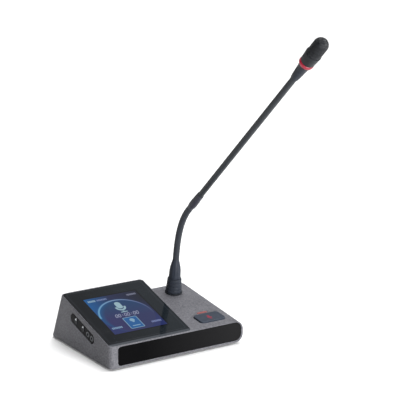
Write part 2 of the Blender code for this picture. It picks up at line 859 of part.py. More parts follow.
def network_places():
    middle = (bay_left + bay_right) / 2
    return [middle - network_pitch / 2, middle + network_pitch / 2]


def add_connector_bay(bay_finish, socket_finish):
    front = bay_front
    bay = box("connector_bay", (bay_left, front, bay_low), (bay_right, back_y, bay_high), material=bay_finish)
    inner_low = (bay_left + bay_wall, front + bay_wall, bay_low + bay_wall)
    combine(bay, box("bay_hollow", inner_low, (bay_right - bay_wall, back_y + overrun, bay_high - bay_wall)))
    combine(bay, wedge_part("bay_trim", 0, 0, -overrun), "INTERSECT")

    board_top = board_low + board_thickness
    socket_low = board_top + gap
    for number, x in enumerate(network_places(), 1):
        half = network_width / 2
        low = (x - half, front + bay_wall - network_depth, socket_low)
        high = (x + half, front + bay_wall, socket_low + network_height)
        hole = [(value - gap, value + gap) for value in (low[0], high[0])]
        cut_low = (hole[0][0], front - overrun, low[2] - gap)
        cut_high = (hole[1][1], front + bay_wall + overrun, high[2] + gap)
        combine(bay, box(f"network_hole_{number}", cut_low, cut_high))
        socket = box(f"network_socket_{number}", low, high, material=socket_finish)
        bore_low = (x - network_bore_width / 2, high[1] - network_bore_depth, low[2] + network_bore_low)
        bore_high = (x + network_bore_width / 2, high[1] + overrun, low[2] + network_bore_low + network_bore_height)
        combine(socket, box(f"network_bore_{number}", bore_low, bore_high))


def build():
    grey_metal = finish("grit blasted grey metal", (0.17, 0.17, 0.18), 0.42, 0.9)
    steel = finish("steel", (0.5, 0.5, 0.52), 0.35, 1.0)
    black_gloss = finish("glossy black", (0.012, 0.012, 0.013), 0.08)
    black_glass = finish("dark cover glass", (0.02, 0.021, 0.024), 0.06)
    black_plastic = finish("black plastic", (0.02, 0.02, 0.021), 0.45)
    slate_plastic = finish("slate plastic", (0.05, 0.055, 0.065), 0.35)
    rubber = finish("black rubber", (0.015, 0.015, 0.016), 0.75)
    board_green = finish("circuit board", (0.02, 0.10, 0.05), 0.4)
    red_light = finish("red light", (0.8, 0.02, 0.02), 0.25)
    dark_grille = finish("dark grille", (0.03, 0.03, 0.032), 0.6)
    brass = finish("plug metal", (0.6, 0.55, 0.4), 0.3, 1.0)

    add_housing(grey_metal)
    add_base_plate(black_plastic)
    add_feet(rubber)
    add_screws(steel)
    add_fascia(black_gloss)
    add_display(black_glass, black_plastic, steel)
    add_side_panel(black_gloss, slate_plastic, steel, board_green)
    add_talk_key(slate_plastic, red_light, black_plastic, board_green)
    add_socket(black_plastic, steel)
    add_microphone_foot(black_plastic, brass, rubber)
    add_gooseneck(rubber, black_plastic, black_plastic)
    add_head(black_plastic, red_light, slate_plastic, dark_grille, steel)
    add_boards(board_green)
    add_loudspeaker(black_plastic)
    add_ballast(steel)
    add_connector_bay(black_plastic, steel)


build()
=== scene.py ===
# %% [markdown]
# # A conference delegate unit
#
# This lesson dresses the CAD model of a desk unit: a grit-blasted metal wedge with a touch display, a talk key and a
# gooseneck microphone. The CAD model is the frame. It already has every piece at its real size and every joint, so
# what is made here sits exactly where the CAD says, and all of it but the sleeves of the bend moves with the same
# bodies.
#
# The first cell loads that frame and keeps its outer box, so that the end of the lesson can compare the two.

# %% Load the frame
import math

import bmesh
import bpy
from mathutils import Matrix, Vector


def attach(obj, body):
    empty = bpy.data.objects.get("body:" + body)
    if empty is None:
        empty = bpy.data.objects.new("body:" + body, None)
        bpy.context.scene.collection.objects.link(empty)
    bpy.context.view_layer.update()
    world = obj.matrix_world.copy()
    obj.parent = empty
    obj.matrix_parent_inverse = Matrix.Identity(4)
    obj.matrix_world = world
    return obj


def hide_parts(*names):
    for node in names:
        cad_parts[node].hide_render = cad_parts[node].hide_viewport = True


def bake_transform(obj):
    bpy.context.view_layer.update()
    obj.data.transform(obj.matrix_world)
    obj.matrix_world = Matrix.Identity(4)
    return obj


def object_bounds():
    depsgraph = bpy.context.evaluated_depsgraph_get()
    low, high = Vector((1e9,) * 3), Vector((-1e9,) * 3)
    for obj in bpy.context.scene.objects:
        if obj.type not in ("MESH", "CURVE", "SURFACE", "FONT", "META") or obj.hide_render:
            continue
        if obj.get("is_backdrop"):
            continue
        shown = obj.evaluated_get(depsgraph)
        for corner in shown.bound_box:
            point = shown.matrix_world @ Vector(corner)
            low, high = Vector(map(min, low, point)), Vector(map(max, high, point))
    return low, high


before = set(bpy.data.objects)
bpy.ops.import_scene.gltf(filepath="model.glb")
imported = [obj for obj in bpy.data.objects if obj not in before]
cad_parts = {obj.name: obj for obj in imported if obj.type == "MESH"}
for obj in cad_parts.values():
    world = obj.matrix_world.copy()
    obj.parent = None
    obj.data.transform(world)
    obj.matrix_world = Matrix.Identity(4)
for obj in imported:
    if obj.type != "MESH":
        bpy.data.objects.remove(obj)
cad_box = [list(corner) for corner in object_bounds()]

# %% [markdown]
# ## Camera
#
# The photograph looks down on the unit from its front left, from far away with a long lens, so the wedge hardly
# tapers. The three directions of the camera were fitted to the corners of the housing in the photograph. A matrix
# made of them turns the camera in one step.

# %% Place the camera
camera_right = Vector((0.8362, -0.5484, 0.0058))
camera_up = Vector((0.1345, 0.2152, 0.9673))
camera_back = Vector((-0.5317, -0.8080, 0.2537))
camera_place = Vector((-0.9918, -1.62735, 0.6796))

lens = bpy.data.cameras.new("camera")
lens.lens, lens.sensor_width, lens.clip_start = 144, 36, 0.01
camera = bpy.data.objects.new("camera", lens)
bpy.context.scene.collection.objects.link(camera)
turn = Matrix((camera_right, camera_up, camera_back)).transposed().to_quaternion().to_matrix().to_4x4()
camera.matrix_world = Matrix.Translation(camera_place) @ turn
bpy.context.scene.camera = camera
print("camera is", round(camera_place.length, 2), "m from the unit")

# %% [markdown]
# ## The housing's slopes and frames
#
# Almost every piece lies on one of four faces: the sloped display, the sloped deck, the front and the left wall. Each
# face gets a frame: a matrix whose X and Y lie in the face and whose Z points out of it. A piece is then drawn flat,
# in plain numbers, and the frame carries it to its place. This is easier to read, and safer, than turning each piece
# by hand.

# %% Sizes of the housing, in metres
body_width, body_depth, deck_width = 0.192, 0.1485, 0.074
left_x, right_x = -body_width / 2, body_width / 2
front_y, back_y = -body_depth / 2, body_depth / 2
step_x = right_x - deck_width
front_height, apex_height, deck_back_height, apex_from_back = 0.0274, 0.0619, 0.0433, 0.0265
display_slope = (apex_height - front_height) / (body_depth - apex_from_back)
back_lean = apex_from_back / apex_height
deck_run = body_depth - back_lean * deck_back_height
deck_slope = (deck_back_height - front_height) / deck_run
wall, front_wall, gap = 0.0024, 0.0034, 0.0003
deck_round, ridge_round, small_round = 0.011, 0.0015, 0.0005
panel_run, panel_height = 0.0678, 0.03247
key_run, bar_run, socket_from_back = 0.0240, 0.0408, 0.02224
deck_middle = right_x - 0.0350
here = Matrix.Identity(4)


def on_slope(x, run, slope):
    """Frame on a sloped top, at a distance from the front face."""
    place = Vector((x, front_y + run, front_height + run * slope))
    return Matrix.Translation(place) @ Matrix.Rotation(math.atan(slope), 4, "X")


def side_wall(along):
    """Frame on the left wall: X up along the oblong panel, Z out of the wall."""
    angle = math.atan(display_slope)
    c, s = math.cos(angle), math.sin(angle)
    turned = Matrix(((0, 0, -1, 0), (c, s, 0, 0), (s, -c, 0, 0), (0, 0, 0, 1)))
    return Matrix.Translation((left_x, front_y + panel_run, panel_height)) @ turned @ Matrix.Translation((along, 0, 0))


display = on_slope((left_x + step_x) / 2, 0, display_slope)
front_face = Matrix.Translation((0, front_y, 0)) @ Matrix.Rotation(math.radians(90), 4, "X")
key_place, bar_place, socket = [on_slope(deck_middle, run, deck_slope)
                                for run in (key_run, bar_run, deck_run - socket_from_back)]
print("display slope", round(math.degrees(math.atan(display_slope)), 1), "degrees")

# %% [markdown]
# ## Three ways to make a mesh
#
# A loft joins rings of points. A rounded slab is an outline that is lofted through several heights, drawn in a little
# at each, so one function makes plates, keys and panels with real rounded edges. A turned piece is a profile that is
# spun round Z. Its corners are softened first, because no moulded or machined edge is perfectly sharp, and an edge
# with no width catches no light. All end in the same step, which merges doubles, turns the faces outwards and marks
# the sharp edges.

# %% Meshes from outlines and profiles
def shaded(mesh, crease):
    """The mesh shaded smooth but for the edges sharper than the crease, in degrees."""
    mesh.shade_smooth()
    mesh.set_sharp_from_angle(angle=math.radians(crease))
    return mesh


def settled(bm, place, crease):
    bmesh.ops.remove_doubles(bm, verts=bm.verts, dist=0.000001)
    bmesh.ops.recalc_face_normals(bm, faces=bm.faces)
    mesh = bpy.data.meshes.new("mesh")
    bm.to_mesh(mesh)
    bm.free()
    mesh.transform(place)
    return shaded(mesh, crease)


def lofted(rings, place=here, crease=32):
    """A closed skin through rings of points, lowest first."""
    bm = bmesh.new()
    rings = [[bm.verts.new(point) for point in ring] for ring in rings]
    for low, high in zip(rings, rings[1:]):
        for i in range(len(low)):
            j = (i + 1) % len(low)
            bm.faces.new((low[i], low[j], high[j], high[i]))
    bm.faces.new(list(reversed(rings[0])))
    bm.faces.new(rings[-1])
    return settled(bm, place, crease)


def spun(profile, place, steps=64, closed=False, crease=32):
    """A profile of (radius, height) points turned round Z. A closed profile makes a ring."""
    bm = bmesh.new()
    rings = []
    for radius, height in profile:
        angles = [math.tau * step / steps for step in range(steps if radius > 0.000001 else 1)]
        rings.append([bm.verts.new((radius * math.cos(a), radius * math.sin(a), height)) for a in angles])
    for upper, lower in list(zip(rings, rings[1:])) + ([(rings[-1], rings[0])] if closed else []):
        for i in range(steps):
            j = (i + 1) % steps
            corners = dict.fromkeys((upper[i % len(upper)], upper[j % len(upper)],
                                     lower[j % len(lower)], lower[i % len(lower)]))
            if len(corners) > 2:
                bm.faces.new(list(corners))
    return settled(bm, place, crease)


# %% Outlines, and slabs made of them
def rounded(left, right, low, high, radii, steps=12):
    """A function that gives the corners of a rounded rectangle, grown outwards by any amount."""
    corners = ((left, low, 1, 1), (right, low, -1, 1), (right, high, -1, -1), (left, high, 1, -1))

    def outline(grow=0.0):
        points = []
        for number, ((x, y, inward_x, inward_y), radius) in enumerate(zip(corners, radii)):
            reach = max(radius + grow, 0.00002)
            for step in range(steps + 1):
                angle = math.radians(180 + 90 * number + 90 * step / steps)
                points.append((x + inward_x * radius + reach * math.cos(angle),
                               y + inward_y * radius + reach * math.sin(angle)))
        return points
    return outline


def centred(width, height, radius, steps=12):
    return rounded(-width / 2, width / 2, -height / 2, height / 2, [radius] * 4, steps)


def rectangle(left, right, low, high):
    return lambda grow=0.0: [(left - grow, low - grow), (right + grow, low - grow), (right + grow, high + grow),
                             (left - grow, high + grow)]


def slab(outline, levels, place):
    """An outline lofted through (grow, height) levels, lowest first."""
    return lofted([[(x, y, height) for x, y in outline(grow)] for grow, height in levels], place)


def quarter_turn(steps):
    return [math.radians(90) * step / steps for step in range(steps + 1)]


def rounded_top(radius, top, steps=4):
    """Levels of a slab's rounded upper edge, with one more ring on the flat that keeps the flat shaded flat."""
    levels = [(radius * (math.cos(a) - 1), top - radius + radius * math.sin(a)) for a in quarter_turn(steps)]
    return levels + [(-radius - 0.0002, top)]


def flared_mouth(radius, top, over=0.003):
    """Levels of a cutter that leaves a rounded edge round the opening."""
    levels = [(radius - radius * math.cos(a), top - radius + radius * math.sin(a)) for a in quarter_turn(3)]
    return levels + [(radius, top + over)]


# %% Profiles with soft corners
def softened(points, radius, steps=3):
    """A profile with its inner corners rounded."""
    path = [Vector(point) for point in points]
    out = [path[0]]
    for before, corner, after in zip(path, path[1:], path[2:]):
        reach = min(radius, 0.45 * (before - corner).length, 0.45 * (after - corner).length)
        start = corner + (before - corner).normalized() * reach
        end = corner + (after - corner).normalized() * reach
        for step in range(steps + 1):
            t = step / steps
            out.append(start * (1 - t) ** 2 + corner * 2 * t * (1 - t) + end * t * t)
    return out + [path[-1]]


def eased(points, steps=5):
    """Points on a smooth curve through the given ones."""
    path = [Vector(point) for point in points]
    path = [2 * path[0] - path[1]] + path + [2 * path[-1] - path[-2]]
    out = []
    for a, b, c, d in zip(path, path[1:], path[2:], path[3:]):
        for step in range(steps):
            t = step / steps
            out.append(0.5 * (2 * b + (c - a) * t + (2 * a - 5 * b + 4 * c - d) * t ** 2
                              + (3 * b - a - 3 * c + d) * t ** 3))
    return out + [path[-2]]


# %% [markdown]
# ## Cutting, and making a mesh a piece of the unit
#
# Openings are cut with Boolean modifiers, whose result is then read off as a plain mesh, and the tools are thrown
# away. A cut can leave two points where one belongs, and the next cut fails on them, so each is cleaned at once. Each
# finished mesh becomes an object at the origin that rides on one CAD body when it is given one, stands for the CAD
# nodes it improves, and takes its finish as its one material.

# %% Cutting and placing
def linked(name, mesh):
    thing = bpy.data.objects.new(name, mesh)
    bpy.context.scene.collection.objects.link(thing)
    return thing


def evaluated(thing):
    """The plain mesh that an object's modifiers make of it; the object is used up."""
    depsgraph = bpy.context.evaluated_depsgraph_get()
    mesh = bpy.data.meshes.new_from_object(thing.evaluated_get(depsgraph))
    bpy.data.objects.remove(thing)
    return mesh


def carved(mesh, tools, operation="DIFFERENCE"):
    body = linked("work", mesh)
    helpers = [linked("tool", tool) for tool in tools]
    for helper in helpers:
        cut = body.modifiers.new("cut", "BOOLEAN")
        cut.operation, cut.solver, cut.object = operation, "EXACT", helper
    made = evaluated(body)
    for helper in helpers:
        bpy.data.objects.remove(helper)
    bm = bmesh.new()
    bm.from_mesh(made)
    bmesh.ops.remove_doubles(bm, verts=bm.verts, dist=0.000002)
    bmesh.ops.dissolve_degenerate(bm, edges=bm.edges, dist=0.000002)
    bm.to_mesh(made)
    bm.free()
    return made


def piece(name, mesh, finish, body, slot, *nodes):
    mesh.name = name
    thing = linked(name, mesh)
    mesh.materials.clear()
    mesh.materials.append(finish.material)
    if body:
        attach(thing, body)
    if nodes:
        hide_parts(*nodes)
    size = [round(1000 * value, 1) for value in thing.dimensions]
    print(f"{name}: {len(mesh.polygons)} faces, {size} mm")
    return thing


# %% [markdown]
# ## Sums in a node tree
#
# A pattern in a material is a sum of numbers, and a sum reads best as a sum. This small class wraps a node's output.
# Adding, multiplying or comparing two of them adds the Math node that does it. Any other node comes from one method,
# which sets the node's settings first and then its sockets. The same two classes write Geometry Nodes too.

# %% Wires and graphs
class Wire:
    """A node's output. Sums on it add Math nodes."""

    def __init__(self, graph, socket):
        self.graph, self.socket = graph, socket

    def sum(self, operation, *values, clamp=False):
        return self.graph.node("ShaderNodeMath", {"operation": operation, "use_clamp": clamp}, dict(enumerate(values)))

    def __add__(self, other): return self.sum("ADD", self, other)
    def __radd__(self, other): return self.sum("ADD", other, self)
    def __sub__(self, other): return self.sum("SUBTRACT", self, other)
    def __rsub__(self, other): return self.sum("SUBTRACT", other, self)
    def __mul__(self, other): return self.sum("MULTIPLY", self, other)
    def __rmul__(self, other): return self.sum("MULTIPLY", other, self)
    def __truediv__(self, other): return self.sum("DIVIDE", self, other)
    def __rtruediv__(self, other): return self.sum("DIVIDE", other, self)
    def __pow__(self, other): return self.sum("POWER", self, other)
    def __mod__(self, other): return self.sum("FLOORED_MODULO", self, other)
    def __lt__(self, other): return self.sum("LESS_THAN", self, other)
    def __gt__(self, other): return self.sum("GREATER_THAN", self, other)
    def __abs__(self): return self.sum("ABSOLUTE", self)

    def least(self, other): return self.sum("MINIMUM", self, other)
    def most(self, other): return self.sum("MAXIMUM", self, other)
    def limited(self): return self.sum("ADD", self, 0.0, clamp=True)
    def root(self): return self.sum("SQRT", self)
    def sine(self): return self.sum("SINE", self)
    def angle_to(self, other): return self.sum("ARCTAN2", self, other)


class Graph:
    """A node tree, shader or geometry."""

    def __init__(self, tree):
        self.tree = tree

    def node(self, kind, settings=None, sockets=None, out=0):
        made = self.tree.nodes.new(kind)
        for name, value in (settings or {}).items():
            if name == "stops":
                ramp = made.color_ramp
                while len(ramp.elements) < len(value):
                    ramp.elements.new(0.5)
                for stop, (place, tone) in zip(ramp.elements, value):
                    stop.position, stop.color = place, colour(*tone)
            else:
                setattr(made, name, value)
        for key, value in (sockets or {}).items():
            if isinstance(value, Wire):
                self.tree.links.new(value.socket, made.inputs[key])
            else:
                made.inputs[key].default_value = value
        return Wire(self, made.outputs[out])


# %% [markdown]
# A finish is a Principled material. Numbers that are the same all over go straight on the shader. What varies over
# the surface is worked out from the piece's own coordinates in millimetres, so the grain of the metal has its real
# size on every piece. Colours are given as they look on screen, from 0 to 255.

# %% Finishes
def colour(*seen):
    """The linear numbers that shaders use, for a colour as it looks on screen."""
    seen = [value / 255 for value in seen]
    return (*[v / 12.92 if v <= 0.04045 else ((v + 0.055) / 1.055) ** 2.4 for v in seen], 1.0)


class Finish(Graph):
    def __init__(self, name, base, rough, level=0.5, metallic=0.0):
        self.material = bpy.data.materials.new(name)
        self.material.use_nodes = True
        super().__init__(self.material.node_tree)
        self.shader = self.tree.nodes["Principled BSDF"]
        self.base = base
        self.feed("Base Color", colour(*base))
        self.feed("Roughness", rough)
        self.feed("Metallic", metallic)
        self.feed("Specular IOR Level", level)

    def feed(self, socket, value):
        if isinstance(value, Wire):
            self.tree.links.new(value.socket, self.shader.inputs[socket])
        else:
            self.shader.inputs[socket].default_value = value

    def glow(self, mask, tone, strength):
        """Light of one colour or picture where the mask is 1."""
        self.feed("Emission Color", self.mix(mask, (0, 0, 0, 1), tone))
        self.feed("Emission Strength", strength)

    def place(self, at=here):
        """The piece's coordinates in millimetres, in the given frame."""
        back = at.inverted()
        return self.node("ShaderNodeMapping", {}, {
            "Vector": self.node("ShaderNodeTexCoord", out=3),
            "Location": back.to_translation() * 1000, "Rotation": back.to_euler(), "Scale": (1000, 1000, 1000)})

    def stretched(self, vector, scale):
        return self.node("ShaderNodeMapping", {}, {"Vector": vector, "Scale": scale})

    def parts(self, vector):
        split = self.node("ShaderNodeSeparateXYZ", {}, {0: vector}).socket.node
        return [Wire(self, split.outputs[i]) for i in range(3)]

    def noise(self, vector, scale, detail=2.0, rough=0.5):
        return self.node("ShaderNodeTexNoise", {}, {"Vector": vector, "Scale": scale, "Detail": detail,
                                                    "Roughness": rough})

    def mix(self, share, first, second):
        return self.node("ShaderNodeMix", {"data_type": "RGBA"}, {0: share, 6: first, 7: second}, 2)

    def shades(self, share, dark, light):
        """The base colour between a darker and a lighter shade of it."""
        return self.mix(share, *[colour(*[v * factor for v in self.base]) for factor in (dark, light)])

    def bump(self, height, distance, strength=1.0):
        self.feed("Normal", self.node("ShaderNodeBump", {}, {"Strength": strength, "Distance": distance,
                                                             "Height": height}))


# %% [markdown]
# Plastics, rubbers and paints are one recipe with different numbers: a fine grain that roughens and dents the
# surface, and a wider cloud that shifts its shade a little. So one function makes them all.

# %% One recipe for grained surfaces
def grained(name, base, rough, level, grain, cloud, shades, swing, dents, at=here):
    finish = Finish(name, base, rough, level)
    finish.where = finish.place(at)
    fine = finish.noise(finish.where, *grain)
    finish.tone = finish.shades(finish.noise(finish.where, *cloud), *shades)
    finish.feed("Base Color", finish.tone)
    finish.feed("Roughness", rough - swing[0] + fine * swing[1])
    finish.bump(fine, *dents)
    return finish


def rubber(name, base, rough, level=0.15):
    grain = (3.0, 4.0, 0.6)
    return grained(name, base, rough, level, grain, grain, (0.8, 1.2), (0.08, 0.2), (0.00003, 0.6))


def fine_plastic(name, base, rough, level=0.15, grain=4.0):
    return grained(name, base, rough, level, (grain, 3.0, 0.55), (0.12, 2.0), (0.88, 1.14), (0.06, 0.18),
                   (0.00003, 0.5))


def satin_paint(name, base, rough, level=0.15):
    """Paint with a faint orange peel."""
    return grained(name, base, rough, level, (1.3, 2.0), (0.05, 3.0), (0.9, 1.15), (0.03, 0.1), (0.00003, 0.35))


def bright_metal(name, base, rough):
    """Turned or drawn metal with fine lines."""
    finish = Finish(name, base, rough, metallic=0.9)
    lines = finish.noise(finish.stretched(finish.place(), (6, 6, 0.6)), 1.0)
    finish.feed("Roughness", rough + lines * 0.2)
    finish.feed("Base Color", finish.shades(lines, 0.85, 1.0))
    finish.bump(lines, 0.00001, 0.4)
    return finish


# %% [markdown]
# ## Grit-blasted metal
#
# The housing is cast metal, blasted with fine grit and dyed grey. Each dent is about a fifth of a millimetre wide,
# and the dye takes unevenly in spots of about two millimetres, which is the grain that the photograph shows. It could
# be a photo texture, but noise at the real scale holds at any distance. Two more noises, a wide one and a streaky
# one, vary the tone very slightly, as handling does.

# %% Make the metal finish
def blasted_metal():
    metal = Finish("blasted_metal", (89, 89, 89), 0.5, 0.2, 0.1)
    where = metal.place()
    dents = metal.noise(where, 5.0, 3.0, 0.6)
    spots = metal.noise(where, 0.55, 2.0, 0.6)
    wide = metal.noise(where, 0.035, 3.0)
    streaks = metal.noise(metal.stretched(where, (0.25, 3.0, 3.0)), 1.0)
    tone = (dents * 0.25 + spots * 0.5 + wide * 0.15 + streaks * 0.1).limited()
    stops = [(0.36, (62, 62, 67)), (0.64, (112, 112, 117))]
    metal.feed("Base Color", metal.node("ShaderNodeValToRGB", {"stops": stops}, {0: tone}))
    metal.feed("Roughness", 0.40 + dents * 0.22)
    metal.bump(dents, 0.00006, 0.5)
    return metal


metal = blasted_metal()

# %% [markdown]
# ## The housing
#
# The real shell is one casting: a tall wedge under the display joined to a low deck for the microphone. It is made
# the same way here. Each half is a block with slanted faces whose upright or lengthwise edges are rounded by large
# radii. The ridge along the display's left side gets a round of 1.5 mm, which draws the bright line that the
# photograph shows there. Then every edge that is still sharp gets a half-millimetre round, and the halves are united
# and hollowed.

# %% Blocks with slanted tops
def slanted_block(left, right, slope, inset, roundings, segments=12, back_step=0.0, front_inset=None):
    top = front_height - inset * math.hypot(1, slope)
    back = back_y - (inset + back_step) * math.hypot(1, back_lean)
    front = front_y + (inset if front_inset is None else front_inset)

    def place(side, depth, level):
        x = left if side < 0 else right
        if depth < 0:
            return (x, front, inset if level < 0 else top + slope * (front - front_y))
        if level < 0:
            return (x, back - back_lean * inset, inset)
        y = (back - back_lean * (top - slope * front_y)) / (1 + back_lean * slope)
        return (x, y, top + slope * (y - front_y))

    bm = bmesh.new()
    bmesh.ops.create_cube(bm, size=1)
    signs = {vert: tuple(1 if value > 0 else -1 for value in vert.co) for vert in bm.verts}
    weight = bm.edges.layers.float.new("bevel_weight_edge")
    widest = max(radius for _, _, radius in roundings)
    for edge in bm.edges:
        for first, second, radius in roundings:
            if {signs[vert] for vert in edge.verts} == {first, second}:
                edge[weight] = radius / widest
    for vert in bm.verts:
        vert.co = place(*signs[vert])
    mesh = bpy.data.meshes.new("block")
    bm.to_mesh(mesh)
    bm.free()
    block = linked("block", mesh)
    bevel = block.modifiers.new("rounding", "BEVEL")
    bevel.limit_method, bevel.width, bevel.segments = "WEIGHT", widest, segments
    return evaluated(block)


def wedge(inset, **more):
    upright = [((side, depth, -1), (side, depth, 1), radius - inset)
               for side, depth, radius in ((-1, -1, 0.006), (-1, 1, 0.005), (1, 1, 0.005))]
    return slanted_block(left_x + inset, step_x - inset, display_slope, inset, upright, **more)


def low_deck(left, inset, **more):
    lengthwise = [((1, -1, level), (1, 1, level), deck_round - inset) for level in (1, -1)]
    return slanted_block(left, right_x - inset, deck_slope, inset, lengthwise, back_step=0.0003, **more)


# %% Ease the edges and unite the halves
def on_left_ridge(edge):
    return all(vert.co.x < left_x + 0.0062 and
               abs(vert.co.z - front_height - display_slope * (vert.co.y - front_y)) < 0.00005 for vert in edge.verts)


def edges_eased(mesh, rounds):
    """The mesh with rounds on its sharp edges: (width, segments, which edges) each."""
    bm = bmesh.new()
    bm.from_mesh(mesh)
    bmesh.ops.remove_doubles(bm, verts=bm.verts, dist=0.000001)
    for width, segments, chosen in rounds:
        sharp = [edge for edge in bm.edges if edge.calc_face_angle(0) > math.radians(30) and chosen(edge)]
        bmesh.ops.bevel(bm, geom=sharp, offset=width, segments=segments, profile=0.5, affect="EDGES",
                        clamp_overlap=False)
    bm.to_mesh(mesh)
    bm.free()
    return mesh


all_sharp = (small_round, 2, lambda edge: True)
shell = edges_eased(wedge(0), [(ridge_round, 5, on_left_ridge), all_sharp])
shell = carved(shell, [edges_eased(low_deck(step_x - 2 * deck_round, 0), [all_sharp])], "UNION")
print("outer shell:", len(shell.polygons), "faces")

# %% [markdown]
# The inside is hollow, with four posts for the screws of the base plate. Nobody sees it from outside, but the walls
# are real, so the openings have a true depth.

# %% Hollow the shell
base_left, base_right = left_x + wall, right_x - deck_round
base_front = front_y + front_wall
base_back = back_y - wall * math.hypot(1, back_lean) - back_lean * 0.002
post_places = [(x, y, 0) for y in (-0.06635, 0.064357) for x in (-0.0891, 0.0805)]
post_radius, screw_hole_radius, socket_hole_radius = 0.0038, 0.0016, 0.0088


def rod(radius, low, high, place, steps=32):
    return spun([(0, high), (radius, high), (radius, low), (0, low)], place, steps)


def posts(radius, low, high):
    return [rod(radius, low, high, Matrix.Translation(place)) for place in post_places]


hollow = carved(wedge(wall, front_inset=front_wall, segments=6),
                [low_deck(step_x - deck_round, wall, front_inset=front_wall, segments=6),
                 slab(rectangle(base_left, base_right, base_front, base_back), [(0, -0.003), (0, wall + gap)], here)],
                "UNION")
shell = carved(shell, [carved(hollow, posts(post_radius, 0.0023, 0.09))])
print("hollow shell:", len(shell.polygons), "faces")

# %% [markdown]
# ## Openings in the housing
#
# The glass, the front insert, the side panel, the talk key, its light bar, the microphone socket and the connectors
# all sit in openings. Where an opening's rim shows, its cutter widens at the surface in a quarter round. So the metal's
# edge is rounded there, as blasting leaves it, and no second step has to find those edges again.

# %% Cut the openings
glass_outline = rounded(-0.0575, 0.0575, 0.0026, 0.125284, [0.0045] * 4)
window_outline = rounded(-0.0415, 0.0415, 0.0235, 0.10658, [0.001] * 4, 3)
fascia_outline = rounded(left_x + 0.0113, right_x - 0.0030, 0.0029, 0.0264, [0.0035, 0.0088, 0.0088, 0.0035], 16)
bay_outline = rectangle(-0.0493, 0.0113, 0.0020, 0.0253)
panel_outline = centred(0.059, 0.0124, 0.0062)
key_outline = centred(0.037, 0.0222, 0.005)
bar_outline = centred(0.0150, 0.0034, 0.0017)
through = wall + 0.002


def opening(outline, depth, place, mouth=0.0003):
    return slab(lambda grow: outline(grow + gap), [(0, -depth)] + flared_mouth(mouth, 0.0), place)


shell = carved(shell, [
    opening(glass_outline, 0.0015, display, 0.00025),
    slab(lambda grow: window_outline(grow + gap), [(0, -through), (0, 0.001)], display),
    opening(fascia_outline, 0.0016, front_face),
    opening(panel_outline, through, side_wall(0), 0.0004),
    opening(key_outline, through, key_place, 0.0004),
    opening(bar_outline, through, bar_place, 0.0001),
    rod(socket_hole_radius, -through, 0.003, socket, 64),
    slab(bay_outline, [(0, -0.002), (0, 0.024)],
         Matrix.Translation((0, back_y, 0)) @ Matrix.Rotation(math.radians(90), 4, "X")),
    *posts(screw_hole_radius, -0.002, 0.011)])


def weighed(mesh):
    """The mesh with its normals ruled by the large faces, so that wide flats stay flat next to small rounds."""
    thing = linked("weighed", shaded(mesh, 30))
    modifier = thing.modifiers.new("normals", "WEIGHTED_NORMAL")
    modifier.keep_sharp, modifier.weight = True, 60
    return evaluated(thing)


piece("housing_shell", weighed(shell), metal, "base", "housing_metal", "top_housing")

# %% [markdown]
# ## Gloss black and the front insert
#
# A long insert of polished black plastic covers the front. It is a slab with its corners rounded unlike each other:
# tight at the left and wide at the right, where it follows the round end of the deck. The finish is very dark, with
# the faint unevenness of a moulded panel and a few soft smears, and its colour is made a little lighter towards the
# right end, which is a painted reflection.

# %% Make the front insert
def gloss_black(name, base=(3, 3, 4), level=0.045, rough=0.08):
    finish = Finish(name, base, rough, level)
    where = finish.place()
    smears = finish.noise(finish.stretched(where, (0.4, 1, 1)), 0.09, 4.0, 0.6)
    # Painted reflection: the colour grows lighter towards the right end.
    painted_reflection_to_right = ((finish.parts(where)[0] + 50) / 130).limited()
    finish.feed("Base Color", finish.mix(painted_reflection_to_right, colour(*base), colour(*[v + 22 for v in base])))
    finish.feed("Roughness", rough + (smears - 0.45).limited() * 0.35)
    finish.bump(finish.noise(where, 0.12, 1.0), 0.0004, 0.10)
    return finish


piece("front_insert", slab(fascia_outline, [(0, -0.0013)] + rounded_top(0.00035, -0.0003), front_face),
      gloss_black("gloss_black"), "base", "gloss_black", "front_fascia")

# %% [markdown]
# ## The screen picture
#
# The picture on the display is drawn by sums on the glass's own coordinates: a shape is a distance that is negative
# inside it, and the ink is where the distance is below nothing. Text objects laid on the glass could draw it too, but
# they would stand proud of it and lose its reflections. The layout is a general one for such a unit: a wide arc, a
# microphone sign, a row of noughts for a clock, a framed lamp sign and small bars in the corners.

# %% Shapes as distances, in millimetres
def disc(x, y, centre, radius):
    return ((x - centre[0]) ** 2 + (y - centre[1]) ** 2).root() - radius


def block(x, y, centre, size, corner=0.0):
    across = (abs(x - centre[0]) - (size[0] / 2 - corner)).most(0)
    along = (abs(y - centre[1]) - (size[1] / 2 - corner)).most(0)
    return (across ** 2 + along ** 2).root() - corner


def ink(distance, blur=0.35):
    return (0.5 - distance / blur).limited()


def line(distance, width, blur=0.35):
    return ink(abs(distance) - width / 2, blur)


def microphone_sign(x, y, centre, height):
    """A capsule in a cradle on a foot."""
    cx, cy, h = centre[0], centre[1], height
    capsule = block(x, y, (cx, cy + 0.17 * h), (0.34 * h, 0.62 * h), 0.169 * h)
    cradle = (abs(disc(x, y, (cx, cy - 0.02 * h), 0.25 * h)) - 0.06 * h).most(y - (cy + 0.02 * h))
    stand = block(x, y, (cx, cy - 0.38 * h), (0.08 * h, 0.18 * h))
    foot = block(x, y, (cx, cy - 0.47 * h), (0.40 * h, 0.07 * h), 0.03 * h)
    return capsule.least(cradle).least(stand).least(foot)


def noughts(x, y, centre, cell, height, count):
    """A row of noughts with a colon in every third cell, as on a clock that hasn't started."""
    along = (x - (centre[0] - count * cell / 2)) / cell
    within = (along % 1.0 - 0.5) * cell
    number = along - along % 1.0
    nought = abs(block(within, y, (0, centre[1]), (0.62 * cell, height), 0.30 * cell)) - 0.10 * cell
    dots = disc(within, abs(y - centre[1]), (0, 0.22 * height), 0.13 * cell)
    third = abs(number % 3.0 - 2.0) < 0.5
    shape = nought * (1 - third) + dots * third
    return shape.most(abs(along - count / 2) * cell - count * cell / 2)
